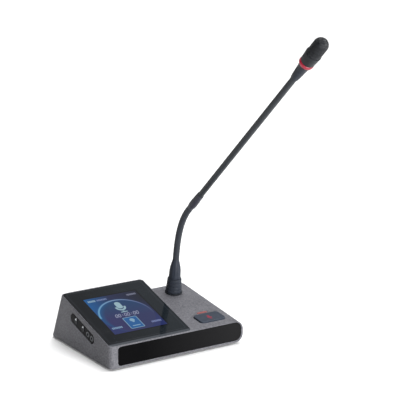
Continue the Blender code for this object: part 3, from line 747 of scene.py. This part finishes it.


# %% [markdown]
# The picture's ground runs from a bright blue at the left to indigo and navy at the right, and the disc inside the
# arc is a shade more violet. Signs are mixed over it one after the other. All of it is light: the glass itself is a
# very dark grey and mirrors the room, and its colour also carries painted reflections: lighter towards the right,
# lighter along its front edge, and a faint lighter line inside its border.

# %% Draw the picture
arc_centre, lit_middle, lit_size = (-2.2, 57.3), (-1.25, 64.75), (74.5, 80.5)
corner_signs = (((-30.0, 98.7), (10.7, 3.8), (190, 230, 255), 1.0), ((-16.2, 98.7), (14.3, 3.4), (160, 180, 236), 0.9),
                ((26.5, 98.6), (13.0, 3.6), (170, 174, 204), 0.9), ((-28.2, 36.6), (14.4, 3.6), (170, 210, 250), 1.0),
                ((26.3, 35.1), (13.4, 3.6), (160, 176, 236), 1.0))


def ground_and_arc(glass, x, y):
    across = ((x + 38.5) / lit_size[0]).limited()
    up = ((y - 24.5) / lit_size[1]).limited()
    ground = glass.mix((across * 2.2).limited(), colour(30, 118, 196), colour(48, 58, 102))
    ground = glass.mix(((across - 0.5) * 2.0).limited(), ground, colour(36, 40, 58))
    ground = glass.mix(((0.75 - up) * 1.8).limited(), ground, colour(56, 68, 134))
    inner = glass.mix((across * 1.6).limited(), colour(68, 64, 128), colour(64, 72, 126))
    inner = glass.mix(((up - 0.35) * 2.6).limited(), inner, colour(46, 86, 138))
    crescent = (disc(x, y, (3.0, 54.0), 33.5) / 7.0).limited() * (1.2 - across * 2.0).limited()
    inner = glass.mix(crescent, inner, colour(28, 108, 172))
    arc = disc(x, y, arc_centre, 35.4)
    picture = glass.mix(ink(arc, 1.0), ground, inner)
    turn = (y - arc_centre[1]).angle_to(x - arc_centre[0]) / math.pi
    stops = [(0.0, (84, 98, 144)), (0.22, (128, 146, 204)), (0.5, (160, 196, 244)), (0.8, (132, 206, 255))]
    arc_tone = glass.node("ShaderNodeValToRGB", {"stops": stops}, {0: turn})
    shown = ((turn + 0.08) * 12).limited() * ((0.985 - turn) * 40).limited()
    glow = ((1 - abs(arc) / 4.0).limited() ** 2) * turn.limited() * shown * 0.6
    picture = glass.mix(glow, picture, colour(70, 150, 226))
    return glass.mix(ink(abs(arc) - (0.7 + 0.45 * turn), 0.8) * shown, picture, arc_tone)


def signs(x, y):
    """Each sign on the screen: its ink and its colour, the lowest first."""
    yield ink(microphone_sign(x, y, (-1.7, 76.8), 23.5)), (200, 240, 255)
    yield ink(noughts(x - (y - 59.5) * 0.22, y, (-1.5, 59.5), 4.2, 6.2, 8)), (210, 216, 250)
    key = block(x, y, (-2.6, 41.2), (18.6, 23.6), 1.2)
    yield ink(key), (50, 124, 200)
    lamp = disc(x, y, (-1.9, 46.4), 3.3).least(block(x, y, (-1.9, 43.0), (2.6, 3.0), 0.5))
    lamp = lamp.least(block(x, y, (-2.2, 34.4), (11.0, 1.5), 0.7))
    yield line(key, 0.9).most(ink(lamp)), (176, 222, 255)
    strokes = abs(x % 2.1 - 1.05) - 0.75
    for centre, size, tone, share in corner_signs:
        yield ink(block(x, y, centre, size, 0.5).most(strokes)) * share, tone


# %% Make the cover glass
def cover_glass():
    glass = Finish("cover_glass", (12, 14, 17), 0.07, 0.25)
    where = glass.place(display)
    x, y, _ = glass.parts(where)
    picture = ground_and_arc(glass, x, y)
    for mask, tone in signs(x, y):
        picture = glass.mix(mask, picture, colour(*tone))
    glass.glow(ink(block(x, y, lit_middle, lit_size), 0.3), picture, 0.95)
    # Painted reflections in the base colour: lighter along the front edge, a faint lighter line inside the border, and
    # lighter towards the right.
    painted_front_reflection = ((7.5 - y) / 1.5).limited()
    painted_border_line = line(block(x, y, (0.0, 66.0), (107.0, 113.0), 2.5), 0.7, 0.6)
    painted_reflection_tint = glass.mix(((x + 50) / 90).limited(), colour(7, 10, 14), colour(19, 24, 28))
    base = glass.mix(painted_front_reflection.most(painted_border_line * 0.35), painted_reflection_tint, colour(54, 57, 62))
    panel = ink(block(x, y, lit_middle, (78.0, 84.0), 1.0), 0.6)
    glass.feed("Base Color", glass.mix(panel, base, colour(7, 8, 11)))
    glass.feed("Roughness", 0.06 + (glass.noise(where, 0.05, 4.0, 0.6) - 0.45).limited() * 0.4)
    return glass


piece("cover_glass_sheet", slab(glass_outline, [(0, -0.0012)] + rounded_top(0.0003, -0.0001), display), cover_glass(),
      "base", "cover_glass", "screen_glass")

# %% [markdown]
# ## The side panel with its keys and jacks
#
# An oblong black panel in the left wall carries two volume keys and two audio jacks. The panel is a slab with four
# round holes whose mouths are eased. The keys are turned with a shallow dish, so that a fingertip finds them. The
# jacks are turned metal rings.

# %% Make the panel
panel_back = -wall - gap - 0.0010
places = {"volume_up": 0.0170, "volume_down": -0.0010, "headphone": -0.0137, "headset": -0.0233}
flange = [(0.0015, panel_back), (0.0015, panel_back + 0.0010), (0, panel_back + 0.0010)]
panel_body = slab(panel_outline, flange + rounded_top(0.0004, -0.0004), side_wall(0))
holes = []
for name, along in places.items():
    radius = 0.0043 if "volume" in name else 0.0039
    mouth = [(radius + grow, height) for grow, height in reversed(flared_mouth(0.00025, -0.0004, 0.002))]
    holes.append(spun([(0, 0.0016)] + mouth + [(radius, -0.006), (0, -0.006)], side_wall(along), 48))
piece("side_insert", weighed(carved(panel_body, holes)), gloss_black("panel_black", (10, 11, 13), 0.03, 0.25), "base",
      "gloss_black", "side_panel")

# %% [markdown]
# Each volume key has a small loudspeaker printed on it in white, a larger one on the upper key, and the sign has a
# painted glow that keeps it bright in the wall's shade. The signs are sums again, laid on the same grained plastic as
# the talk key has.

# %% Make the volume keys and the jacks
def signed_key(name, base, rough, at, sign, sign_colour, painted_glow=0.0):
    """Fine-grained moulded plastic with a sign printed on it, which may be given a painted glow."""
    finish = grained(name, base, rough, 0.12, (7.0, 2.0), (0.25, 3.0), (0.86, 1.12), (0.0, 0.12), (0.00002, 0.5), at)
    x, y, z = finish.parts(finish.where)
    printed = ink(sign(x, y)) * (z > -0.5)
    finish.feed("Base Color", finish.mix(printed, finish.tone, colour(*sign_colour)))
    # Painted glow on the printed sign, which keeps it bright in the wall's shade.
    finish.glow(printed, colour(*sign_colour), painted_glow)
    return finish


def sound_sign(x, y, size):
    """A small loudspeaker: a block and a cone that widens towards the sound."""
    body = block(x, y, (0, -0.32 * size), (0.34 * size, 0.30 * size))
    cone = (abs(x) - 0.16 * size - (y + 0.18 * size) * 0.55).most(abs(y - 0.08 * size) - 0.26 * size)
    return body.least(cone)


volume_radius, volume_top, skirt_foot = 0.0040, 0.0001, panel_back - gap
dish = [(volume_radius * share, volume_top - 0.00022 * (1 - share * share)) for share in (0, 0.2, 0.4, 0.6, 0.8)]
skirt = softened([(0.0035, volume_top), (volume_radius, volume_top), (volume_radius, skirt_foot)], 0.00045)
volume_profile = [*dish, *skirt, (0.0050, skirt_foot), (0.0050, panel_back - 0.0013), (0, panel_back - 0.0013)]
for name, size in (("volume_up", 3.4), ("volume_down", 2.8)):
    at = side_wall(places[name])
    finish = signed_key(f"{name}_plastic", (24, 26, 30), 0.38, at, lambda x, y: sound_sign(x, y + 2.7, size),
                        (225, 228, 232), 0.5)
    piece(f"{name}_key", spun(volume_profile, at, 48), finish, name, "key_plastic", f"{name}_button")

jack_metal = bright_metal("jack_metal", (92, 94, 98), 0.4)
jack_rim = softened([(0.00178, skirt_foot - 0.0078), (0.00178, -0.0002), (0.0036, -0.0002), (0.0036, skirt_foot),
                     (0.0042, skirt_foot), (0.0042, skirt_foot - 0.0100), (0, skirt_foot - 0.0100)], 0.0004)
for name, node in (("headphone", "headphone_jack"), ("headset", "headset_mic_jack")):
    piece(f"{name}_socket", spun([(0, skirt_foot - 0.0078)] + jack_rim, side_wall(places[name]), 48), jack_metal,
          "base", "jack_metal", node)

# %% [markdown]
# ## The talk key and its light bar
#
# The talk key is a wide slate key that stands 1.8 mm proud of the deck. Its top edge has a large soft round, and a
# red microphone sign is printed in its middle. Behind it lies a narrow bar of clear red plastic that a lamp lights
# from below, brightest in its middle.

# %% Make the talk key and the bar
def red_lamp(name, at, base, light, strength, half_length):
    """Clear red plastic lit from inside, with the light fading towards its ends."""
    finish = Finish(name, base, 0.25)
    where = finish.place(at)
    fall = (1 - (abs(finish.parts(where)[0]) / half_length) ** 2 * 0.6).limited()
    cloud = finish.noise(where, 0.5)
    finish.glow(fall * (0.75 + cloud * 0.5), colour(*light), strength)
    finish.feed("Roughness", 0.22 + cloud * 0.15)
    return finish


def flanged_slab(outline, flange_width, flange_thickness, top, place):
    """A slab with a flange under the housing's wall that keeps it from falling out."""
    under = -wall - gap
    return slab(outline, [(flange_width, under - flange_thickness), (flange_width, under), (0, under)] + top, place)


slate = signed_key("slate_key", (48, 54, 64), 0.32, key_place,
                   lambda x, y: microphone_sign(x, y, (-0.9, -0.9), 10.0), (122, 38, 54))
piece("talk_key_cap", flanged_slab(key_outline, 0.0015, 0.0012, rounded_top(0.0009, 0.0018, 6), key_place), slate,
      "talk_key", "key_plastic", "mic_button")
bar_red = red_lamp("bar_red", bar_place, (112, 62, 62), (220, 70, 60), 0.16, 7.5)
piece("lamp_bar", flanged_slab(bar_outline, 0.0010, 0.0010, rounded_top(0.0002, 0.0002, 3), bar_place), bar_red,
      "base", "red_light", "button_light_bar")

# %% [markdown]
# ## Repeats with Geometry Nodes
#
# Screws, feet, contacts and grip ribs repeat. A node tree that places copies keeps their number and spacing as plain
# inputs. Every tree here ends in Realize Instances and Set Material, because a plain mesh is what the model keeps.
# A modifier's inputs are set by the socket's identifier, which stays the same if the socket is renamed.

# %% Trees that repeat a piece
def new_tree(name, **inputs):
    """An empty geometry tree, as a graph and the wires of its inputs by name."""
    tree = bpy.data.node_groups.new(name, "GeometryNodeTree")
    inputs["finish"] = "Material"
    for label, kind in inputs.items():
        tree.interface.new_socket(label, in_out="INPUT", socket_type="NodeSocket" + kind)
    tree.interface.new_socket("result", in_out="OUTPUT", socket_type="NodeSocketGeometry")
    graph = Graph(tree)
    entry = tree.nodes.new("NodeGroupInput")
    return graph, {label: Wire(graph, entry.outputs[label]) for label in inputs}


def end_tree(graph, given, **instanced):
    """Put instances on points, make them real, dress them and hand them out."""
    instances = graph.node("GeometryNodeInstanceOnPoints", {}, instanced)
    whole = graph.node("GeometryNodeRealizeInstances", {}, {0: instances})
    dressed = graph.node("GeometryNodeSetMaterial", {}, {"Geometry": whole, "Material": given["finish"]})
    graph.tree.links.new(dressed.socket, graph.tree.nodes.new("NodeGroupOutput").inputs["result"])
    return graph.tree


def grown(tree, finish, place=here, mesh=None, **values):
    """The plain mesh that a tree makes, from a mesh if it has one, carried to its place."""
    carrier = linked("carrier", mesh or bpy.data.meshes.new("carrier"))
    modifier = carrier.modifiers.new("tree", "NODES")
    modifier.node_group = tree
    values["finish"] = finish.material
    for item in tree.interface.items_tree:
        if item.in_out == "INPUT" and item.name in values:
            modifier[item.identifier] = values[item.name]
    made = evaluated(carrier)
    made.transform(place)
    return shaded(made, 35)


def copies_tree():
    graph, given = new_tree("copies_on_points", points="Geometry", pattern="Object")
    pattern = graph.node("GeometryNodeObjectInfo", {}, {"Object": given["pattern"]}, "Geometry")
    return end_tree(graph, given, Points=given["points"], Instance=pattern)


copies_on_points = copies_tree()


def copies(mesh, points, finish):
    """One mesh repeated at each of the points."""
    pattern = linked("pattern", mesh)
    cloud = bpy.data.meshes.new("points")
    cloud.from_pydata(points, [], [])
    made = grown(copies_on_points, finish, mesh=cloud, pattern=pattern)
    bpy.data.objects.remove(pattern)
    return made


# %% [markdown]
# ## Feet and base screws
#
# Four rubber feet are pressed into shallow recesses of the base plate, and four pan-head screws with a cross recess
# hold it. One foot and one screw are made well, and the tree copies them.

# %% Make the feet and the screws
foot_rubber = rubber("foot_rubber", (22, 23, 25), 0.62, 0.3)
foot_profile = softened([(0, 0.0006), (0.006, 0.0006), (0.006, -0.0012), (0.0052, -0.002), (0.0035, -0.002),
                         (0.0032, -0.0016), (0, -0.0016)], 0.0003)
foot_places = [(x, y, 0) for y in (-0.05485, 0.054783) for x in (-0.0776, 0.069)]
piece("rubber_feet", copies(spun(foot_profile, here, 40), foot_places, foot_rubber), foot_rubber, "base",
      "feet_rubber", *[f"rubber_foot_{n}" for n in range(1, 5)])

steel = bright_metal("zinc_steel", (160, 160, 158), 0.28)
screw_profile = softened([(0, 0.009), (0.0013, 0.009), (0.0013, 0.0011), (0.0027, 0.0011), (0.0027, 0.0003),
                          (0.0019, 0.0), (0, 0.0)], 0.0002)
cross = [slab(centred(length, width, 0.0001, 2), [(0, -0.001), (0, 0.0008)], here)
         for length, width in ((0.0030, 0.0006), (0.0006, 0.0030))]
piece("plate_screws", copies(carved(spun(screw_profile, here, 32), cross), post_places, steel), steel, "base",
      "steel", *[f"base_screw_{n}" for n in range(1, 5)])

# %% [markdown]
# ## The microphone's foot
#
# The microphone plugs into a flanged socket in the deck. A ring of four grooved steps clamps it. All of it is turned
# plastic, so it is spun from profiles. The ring's grip ribs are too fine and too many to model one by one, so a tree
# stands them round each step: number, radius and height are its inputs.

# %% Make the socket and the clamping ring
flange_profile = softened([(0, -0.015), (0.0066, -0.015), (0.0066, 0.0021), (0.01135, 0.0021), (0.01135, 0.0003),
                           (0.0085, 0.0003), (0.0085, -0.0165), (0, -0.0165)], 0.0006)
piece("socket_flange", spun(flange_profile, socket, 72), fine_plastic("socket_plastic", (26, 29, 34), 0.42), "base",
      "socket_plastic", "mic_socket")

ring_low, ring_high, ring_steps, ribs_each = 0.0024, 0.0204, 4, 36
band = (ring_high - ring_low) / ring_steps


def ring_radius(height):
    return 0.0104 + (0.0089 - 0.0104) * (height - ring_low) / (ring_high - ring_low)


outer = []
for number in reversed(range(ring_steps)):
    foot, head = ring_low + number * band, ring_low + (number + 1) * band
    groove = 0.0 if number == ring_steps - 1 else 0.0006
    outer += [(ring_radius(head) - groove, head), (ring_radius(head) - groove, head - 0.0006),
              (ring_radius(foot + 0.3 * band), head - 0.0009), (ring_radius(foot), foot)]
ring_mesh = spun(softened([(0.0066, ring_high), *outer, (0.0066, ring_low)], 0.00025, 2), socket, 72, closed=True)


# %% Grip ribs
def ribs_tree():
    graph, given = new_tree("ribs_round_a_ring", count="Int", ring_radius="Float", rib_radius="Float",
                            rib_length="Float")
    circle = graph.node("GeometryNodeMeshCircle", {}, {"Vertices": given["count"], "Radius": given["ring_radius"]})
    rib = graph.node("GeometryNodeMeshCylinder", {}, {"Vertices": 8, "Radius": given["rib_radius"],
                                                      "Depth": given["rib_length"]})
    return end_tree(graph, given, Points=circle, Instance=rib)


def joined(*meshes):
    bm = bmesh.new()
    for mesh in meshes:
        bm.from_mesh(mesh)
    made = bpy.data.meshes.new("joined")
    bm.to_mesh(made)
    bm.free()
    return shaded(made, 35)


ribs_round_a_ring = ribs_tree()
ring_plastic = fine_plastic("ring_plastic", (40, 44, 52), 0.5)
grips = []
for number in range(ring_steps):
    middle = ring_low + (number + 0.40) * band
    grips.append(grown(ribs_round_a_ring, ring_plastic, socket @ Matrix.Translation((0, 0, middle)), count=ribs_each,
                       ring_radius=ring_radius(middle) - 0.00018, rib_radius=0.00030, rib_length=band * 0.5))
piece("clamping_ring", joined(ring_mesh, *grips), ring_plastic, "ring", "socket_plastic", "locking_ring")
print("grip ribs:", ribs_each * ring_steps)

# %% [markdown]
# ## Boot and plug
#
# A rubber boot covers the foot of the gooseneck. It keeps its width for a third of its height and then draws in over
# a soft shoulder. Shallow flutes run up its side, and they are real relief: the spun mesh is pushed in and out round
# the axis. The plug under it is plated metal, and it shows only when the microphone is pulled out.

# %% Make the boot and the plug
flex_radius = 0.00415
boot_low, boot_top, boot_edge = 0.0207, 0.0460, 0.0079


def fluted(mesh, place, count, depth, low, high):
    """The mesh with shallow flutes round the frame's Z, fading out at both ends."""
    back = place.inverted()
    for vert in mesh.vertices:
        at = back @ vert.co
        share, reach = (at.z - low) / (high - low), math.hypot(at.x, at.y)
        if 0 < share < 1 and reach > 0.0039:
            fade = math.sin(math.pi * share) ** 0.5
            scale = 1 - depth * fade * (0.5 - 0.5 * math.cos(count * math.atan2(at.y, at.x))) / reach
            vert.co = place @ Vector((at.x * scale, at.y * scale, at.z))
    return mesh


shoulder = [(0.0043, boot_top - 0.0002)]
shoulder += [(flex_radius + 0.00335 * width, boot_top - (boot_top - boot_low) * (1 - share))
             for share, width in ((0.92, 0.16), (0.80, 0.42), (0.62, 0.74), (0.45, 0.94), (0.30, 1.0), (0.12, 1.04))]
boot_foot = [(0.0076, boot_low + 0.0018), (boot_edge, boot_low + 0.0016), (boot_edge, boot_low), (0, boot_low)]
boot_profile = [(0, boot_top), (flex_radius, boot_top), *eased(shoulder), *softened(boot_foot, 0.0003)]
boot_mesh = fluted(spun(boot_profile, socket, 144), socket, 12, 0.00035, boot_low + 0.0022, boot_top - 0.002)
piece("boot", boot_mesh, rubber("boot_rubber", (40, 44, 53), 0.5), "microphone_foot", "gooseneck_rubber", "flex_boot")

plug_profile = softened([(0, boot_low - gap), (0.0063, boot_low - gap), (0.0063, -0.0030), (0.0056, -0.0036),
                         (0.0056, -0.0050), (0.0063, -0.0056), (0.0063, -0.0140), (0.0050, -0.0140),
                         (0.0046, -0.0100), (0, -0.0100)], 0.0004)
piece("plug", spun(plug_profile, socket), bright_metal("plug_metal", (176, 168, 140), 0.28), "microphone_foot",
      "plug_metal", "mic_plug")

# %% [markdown]
# ## The bending stretch
#
# The gooseneck bends in eight places. In the CAD model each bend is a hinge between two short links, and real
# goosenecks hide their links under one smooth rubber sleeve. The sleeve is made in eight lengths, each from the
# middle of one link to the middle of the next and blended over the hinge between them.

# %% Frames of the bend
first_hinge, hinge_pitch, whole_bend, neck_start = 0.0500, 0.0102, 40, 0.2992
bend_shares = (0.035, 0.07, 0.095, 0.12, 0.14, 0.16, 0.18, 0.20)
hinges = []
at = socket @ Matrix.Translation((0, 0, first_hinge))
for number, share in enumerate(bend_shares):
    at = at @ Matrix.Translation((0, 0, hinge_pitch if number else 0))
    at = at @ Matrix.Rotation(math.radians(whole_bend * share), 4, "X")
    hinges.append(at.copy())
last = hinges[-1]


def sleeve(start, bend, end, tail=None, rings=14, steps=40):
    """A tube along a smooth bend from start to end that leaves each along the link it sits on."""
    path = []
    for step in range(rings + 1):
        t = step / rings
        path.append((start * (1 - t) ** 2 + bend * 2 * t * (1 - t) + end * t * t,
                     ((bend - start) * (1 - t) + (end - bend) * t).normalized()))
    if tail is not None:
        path.append((tail, (tail - end).normalized()))
    side = Vector((1, 0, 0))
    angles = [math.tau * step / steps for step in range(steps)]
    return lofted([[point + (side * math.cos(a) + heading.cross(side).normalized() * math.sin(a)) * flex_radius
                    for a in angles] for point, heading in path], crease=60)


# %% Make the sleeves
flex_rubber = rubber("flex_rubber", (44, 47, 52), 0.48)
bodies = ["microphone_foot"] + [f"flex_{n}" for n in range(1, 8)] + ["microphone"]
link_middles = [socket @ Vector((0, 0, boot_top - 0.001))]
link_middles += [hinge @ Vector((0, 0, hinge_pitch / 2)) for hinge in hinges]
for number, hinge in enumerate(hinges, 1):
    start, end = link_middles[number - 1:number + 1]
    topmost = number == len(hinges)
    mesh = sleeve(start, hinge.to_translation(), end, hinge @ Vector((0, 0, 0.0112)) if topmost else None)
    nodes = [] if topmost else [f"flex_link_{number}"]
    thing = piece(f"sleeve_{number}", mesh, flex_rubber, None, "gooseneck_rubber", *nodes)
    bodies[number - 1]
    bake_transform(thing)
    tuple(start)
    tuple(end)

# %% [markdown]
# ## Ferrule, stem and neck
#
# Above the bend a ferrule swells and tapers into the rigid stem, a slim painted tube that carries a long highlight.
# At its far end the neck flares out to the head. All three are spun. The ferrule and the neck have eased profiles, and
# the stem is a plain tube.

# %% Make the ferrule, the stem and the neck
swell = [(0.0045, 0.0414), (0.0047, 0.0340), (0.0050, 0.0260), (0.0051, 0.0205), (0.0049, 0.0160), (0.0043, 0.0116)]
ferrule_profile = [(0, 0.0415), (0.0038, 0.0420), (0.0043, 0.0419), *eased(swell), (0.0040, 0.0100), (0, 0.0100)]
piece("ferrule", spun(ferrule_profile, last, 48, crease=50), fine_plastic("ferrule_plastic", (48, 48, 56), 0.38),
      "microphone", "stem_paint", "flex_ferrule")

head = last @ Matrix.Translation((0, 0, neck_start))
stem_profile = [(0.0038, 0.3070), (0.0038, 0.0323), (0.0030, 0.0323), (0.0030, 0.3070)]
piece("stem", spun(stem_profile, last, 48, closed=True), satin_paint("stem_paint", (40, 43, 46), 0.34), "microphone",
      "stem_paint", "stem_tube")

neck_length = 0.0274
neck_shares = ((0.0, 1.0), (0.13, 0.76), (0.27, 0.58), (0.45, 0.46), (0.70, 0.33), (0.86, 0.18), (1.0, 0.0))
flare = [(0.0045 + 0.0031 * width, neck_length * (1 - fall)) for fall, width in neck_shares]
neck_profile = [(0, neck_length + 0.0095), (0.0050, neck_length + 0.0095), (0.0050, neck_length),
                (0.0072, neck_length), *eased(flare), (0.0043, -0.0002), (0.0038, -0.0002), (0, -0.0002)]
piece("neck", spun(neck_profile, head), fine_plastic("head_plastic", (32, 36, 43), 0.4), "microphone", "head_plastic",
      "neck_cone")

# %% [markdown]
# ## The head
#
# A ring of clear red plastic lights up when the microphone is live. Above it a collar of dark plastic widens a
# little towards the windscreen. The windscreen is a dark shell under fine cross ribs. The ribs follow the round tip,
# so their radius comes from a sum in the tree: full width on the straight part, and the root of a difference of
# squares on the dome.

# %% Make the light ring and the collar
bore, ring_foot, ring_edge = 0.0053, neck_length + gap, 0.00895
ring_top = ring_foot + 0.0046
glow_profile = softened([(bore, ring_top), (ring_edge - 0.0006, ring_top), (ring_edge, ring_top - 0.0012),
                         (ring_edge, ring_foot + 0.0012), (ring_edge - 0.0006, ring_foot), (bore, ring_foot)], 0.0006)
piece("red_ring", spun(glow_profile, head, 72, closed=True),
      red_lamp("ring_red", head, (96, 10, 28), (200, 16, 58), 0.34, 40.0), "microphone", "red_light", "light_ring")

collar_foot, collar_top = ring_top + gap, ring_top + gap + 0.0149
collar_profile = softened([(0, collar_top), (0.0094, collar_top), (0.0096, collar_top - 0.0006),
                           (0.0094, collar_top - 0.0024), (0.0086, collar_foot), (bore, collar_foot),
                           (bore, collar_foot + 0.0042), (0, collar_foot + 0.0042)], 0.0005)
piece("collar", spun(collar_profile, head, 72), fine_plastic("collar_plastic", (28, 30, 33), 0.42), "microphone",
      "head_plastic", "capsule_collar")

# %% Shape and finish of the windscreen
screen_foot, screen_radius = collar_top + gap, 0.00885
under_ribs, inner_radius = screen_radius - 0.0003, screen_radius - 0.0012
dome_centre = screen_foot + 0.0246 - screen_radius
dome, hollow_dome = [[(radius * math.sin(a), dome_centre + radius * math.cos(a)) for a in quarter_turn(16)]
                     for radius in (under_ribs, inner_radius)]
rim = screen_foot - 0.00025
screen_profile = [*dome, (under_ribs, screen_foot + 0.002), (screen_radius, screen_foot + 0.0018),
                  (screen_radius, rim), (inner_radius, rim), *reversed(hollow_dome)]


def grille_finish():
    """Dark woven steel: two families of fine wires that cross on the surface."""
    finish = Finish("grille", (26, 28, 31), 0.5, 0.2, 0.1)
    x, y, z = finish.parts(finish.place(head))
    wires = (y.angle_to(x) * 8.85 * 9.0).sine() * 0.5 + (z * 9.0).sine() * 0.5
    finish.feed("Base Color", finish.mix((wires * 0.5 + 0.5).limited(), colour(12, 13, 15), colour(36, 38, 42)))
    finish.feed("Roughness", 0.42 + wires * 0.08)
    finish.bump(wires, 0.00008, 0.7)
    return finish


# %% Ribs over the dome
def dome_ribs_tree():
    graph, given = new_tree("ribs_on_a_dome", count="Int", first="Float", pitch="Float", dome_centre="Float",
                            radius="Float", rib_radius="Float")
    first, pitch = [graph.node("ShaderNodeCombineXYZ", {}, {"Z": given[label]}) for label in ("first", "pitch")]
    row = graph.node("GeometryNodeMeshLine", {}, {"Count": given["count"], "Start Location": first, "Offset": pitch})
    ring, wire = [graph.node("GeometryNodeCurvePrimitiveCircle", {}, {"Resolution": corners, "Radius": given[label]})
                  for corners, label in ((56, "radius"), (8, "rib_radius"))]
    rib = graph.node("GeometryNodeCurveToMesh", {}, {"Curve": ring, "Profile Curve": wire})
    height = graph.node("ShaderNodeSeparateXYZ", {}, {0: graph.node("GeometryNodeInputPosition")}, "Z")
    over = (height - given["dome_centre"]).most(0.0) / given["radius"]
    width = (1 - over * over).most(0.0).root()
    scale = graph.node("ShaderNodeCombineXYZ", {}, {"X": width, "Y": width, "Z": 1.0})
    return end_tree(graph, given, Points=row, Instance=rib, Scale=scale)


ribs_on_a_dome = dome_ribs_tree()
grille = grille_finish()
ribs = grown(ribs_on_a_dome, grille, head, count=13, first=screen_foot + 0.0035, pitch=0.00165,
             dome_centre=dome_centre, radius=under_ribs, rib_radius=0.0003)
piece("windscreen_grille", joined(spun(screen_profile, head, 72), ribs), grille, "microphone", "grille", "windscreen")

# %% [markdown]
# ## Connectors at the back
#
# The bay at the back is a moulded pocket with two network sockets. Their CAD solids have the right shape, so they
# keep it. What they lack is the contacts: eight gold wires in a row that slope into each socket, laid out by a tree.

# %% Make the contacts
def contacts_tree():
    graph, given = new_tree("row_of_contacts", count="Int", pitch="Float", wire_size="Vector", slope="Float")
    step, turned = [graph.node("ShaderNodeCombineXYZ", {}, {"X": given[label]}) for label in ("pitch", "slope")]
    row = graph.node("GeometryNodeMeshLine", {}, {"Count": given["count"], "Offset": step})
    wire = graph.node("GeometryNodeMeshCube", {}, {"Size": given["wire_size"]})
    return end_tree(graph, given, Points=row, Instance=wire, Rotation=turned)


row_of_contacts = contacts_tree()
gold = bright_metal("contact_gold", (212, 168, 84), 0.22)
contact_count, contact_pitch = 8, 0.00102
for number, x in enumerate((-0.031, -0.007), 1):
    start = Matrix.Translation((x - (contact_count - 1) / 2 * contact_pitch, 0.04525, 0.0152))
    wires = grown(row_of_contacts, gold, start, count=contact_count, pitch=contact_pitch,
                  wire_size=(0.0004, 0.0085, 0.0003), slope=math.radians(-22))
    piece(f"network_contacts_{number}", wires, gold, "base", "connector_metal")

# %% [markdown]
# ## Finishes for the CAD pieces that keep their shape
#
# The base plate, the connector bay and what lies inside have the right shape already. They only need a finish: a
# coarse moulded grain on the plate, drawn steel on the sockets, and a green board that is lighter over its copper.

# %% Dress the CAD pieces
def dress(finish, *names):
    for name in names:
        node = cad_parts[name]
        if not node.material_slots:
            node.data.materials.append(finish.material)
        for slot in node.material_slots:
            slot.material = finish.material
    print(finish.material.name, "on", ", ".join(names))


def circuit_board():
    board = Finish("circuit_board", (18, 70, 44), 0.4)
    where = board.place()
    x, y, _ = board.parts(where)
    lanes = ((x % 1.6 - 0.8) > 0.25) * (board.noise(where, 0.18, 0.0) > 0.5)
    cross = ((y % 2.1 - 1.05) > 0.3) * (board.noise(where, 0.15, 0.0) < 0.45)
    copper = (lanes + cross).limited()
    board.feed("Base Color", board.mix(copper * 0.6, colour(18, 70, 44), colour(40, 108, 70)))
    board.bump(copper, 0.00004, 0.5)
    return board


dress(fine_plastic("moulded_base", (30, 31, 33), 0.55, 0.4, 1.6), "base_plate", "connector_bay")
dress(fine_plastic("dull_black", (24, 25, 27), 0.5, 0.4), "lcd_module", "button_switch", "volume_up_switch",
      "volume_down_switch", "loudspeaker")
dress(steel, "lcd_bracket", "board_screw_1", "board_screw_2", "socket_nut", "ballast_plate", "mic_capsule")
dress(bright_metal("socket_shell", (168, 168, 166), 0.32), "network_socket_1", "network_socket_2")
dress(circuit_board(), "main_board", "side_board", "deck_board")

# %% [markdown]
# ## Floor and light
#
# The photograph was taken on white with a soft, even light from above and a little from behind on the right, so the
# left wall is the darkest face and the shadow is a faint pool near the base. A broad sun gives that without falling
# off with distance. A lamp at the right and one low in front add the long highlights on the stem and the rounded
# corners. A weak one behind is mirrored in the cover glass, which lifts it from black to dark grey. The floor glows
# very slightly itself, like a light table, which keeps it white to the horizon.

# %% Floor
floor_reach, floor_top = 14.0, -0.002
white = Finish("white_floor", (255, 255, 255), 0.9, 0.0)
white.feed("Base Color", (0.74, 0.74, 0.74, 1))
white.feed("Emission Color", (1, 1, 1, 1))
white.feed("Emission Strength", 0.11)
white.bump(white.noise(white.place(), 0.02), 0.0001, 0.1)
floor = linked("floor", slab(rectangle(-floor_reach, floor_reach, -floor_reach, floor_reach),
                             [(0, floor_top - 0.02), (0, floor_top)], here))
floor.data.materials.append(white.material)
floor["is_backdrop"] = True

# %% Lamps and sky
def lamp(name, kind, place, target, **settings):
    light = bpy.data.lights.new(name, kind)
    for key, value in settings.items():
        setattr(light, key, value)
    heading = Vector(target) - Vector(place)
    turned = heading.to_track_quat("-Z", "Y").to_matrix().to_4x4()
    linked(name, light).matrix_world = Matrix.Translation(place) @ turned


lamp("broad_sun", "SUN", (0.48, 0.4, 2.7), (0, 0, 0), energy=4.0, angle=math.radians(46))
lamp("right_softbox", "AREA", (1.6, -0.4, 0.9), (0, 0, 0.1), energy=20, shape="RECTANGLE", size=0.9, size_y=1.0)
lamp("front_softbox", "AREA", (0.1, -2.2, 0.30), (0, 0, 0.05), energy=73, shape="RECTANGLE", size=1.4, size_y=0.6)
lamp("back_softbox", "AREA", (1.16, 1.21, 1.42), (-0.03, 0, 0.04), energy=2.6, shape="SQUARE", size=1.5)

sky = bpy.data.worlds.new("studio")
sky.use_nodes = True
sky.node_tree.nodes["Background"].inputs["Color"].default_value = (0.046, 0.047, 0.051, 1)
bpy.context.scene.world = sky
bpy.context.scene.view_settings.view_transform = "Standard"
bpy.context.scene.view_settings.look = "None"

# %% [markdown]
# ## The size of the unit
#
# The dressed unit should fill the same box as the CAD model. Both boxes are printed, in millimetres.

# %% Compare the boxes
dressed_box = [list(corner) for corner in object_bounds()]
for name, (low, high) in (("cad", cad_box), ("dressed", dressed_box)):
    print(name, [round(1000 * (b - a), 2) for a, b in zip(low, high)], "mm")
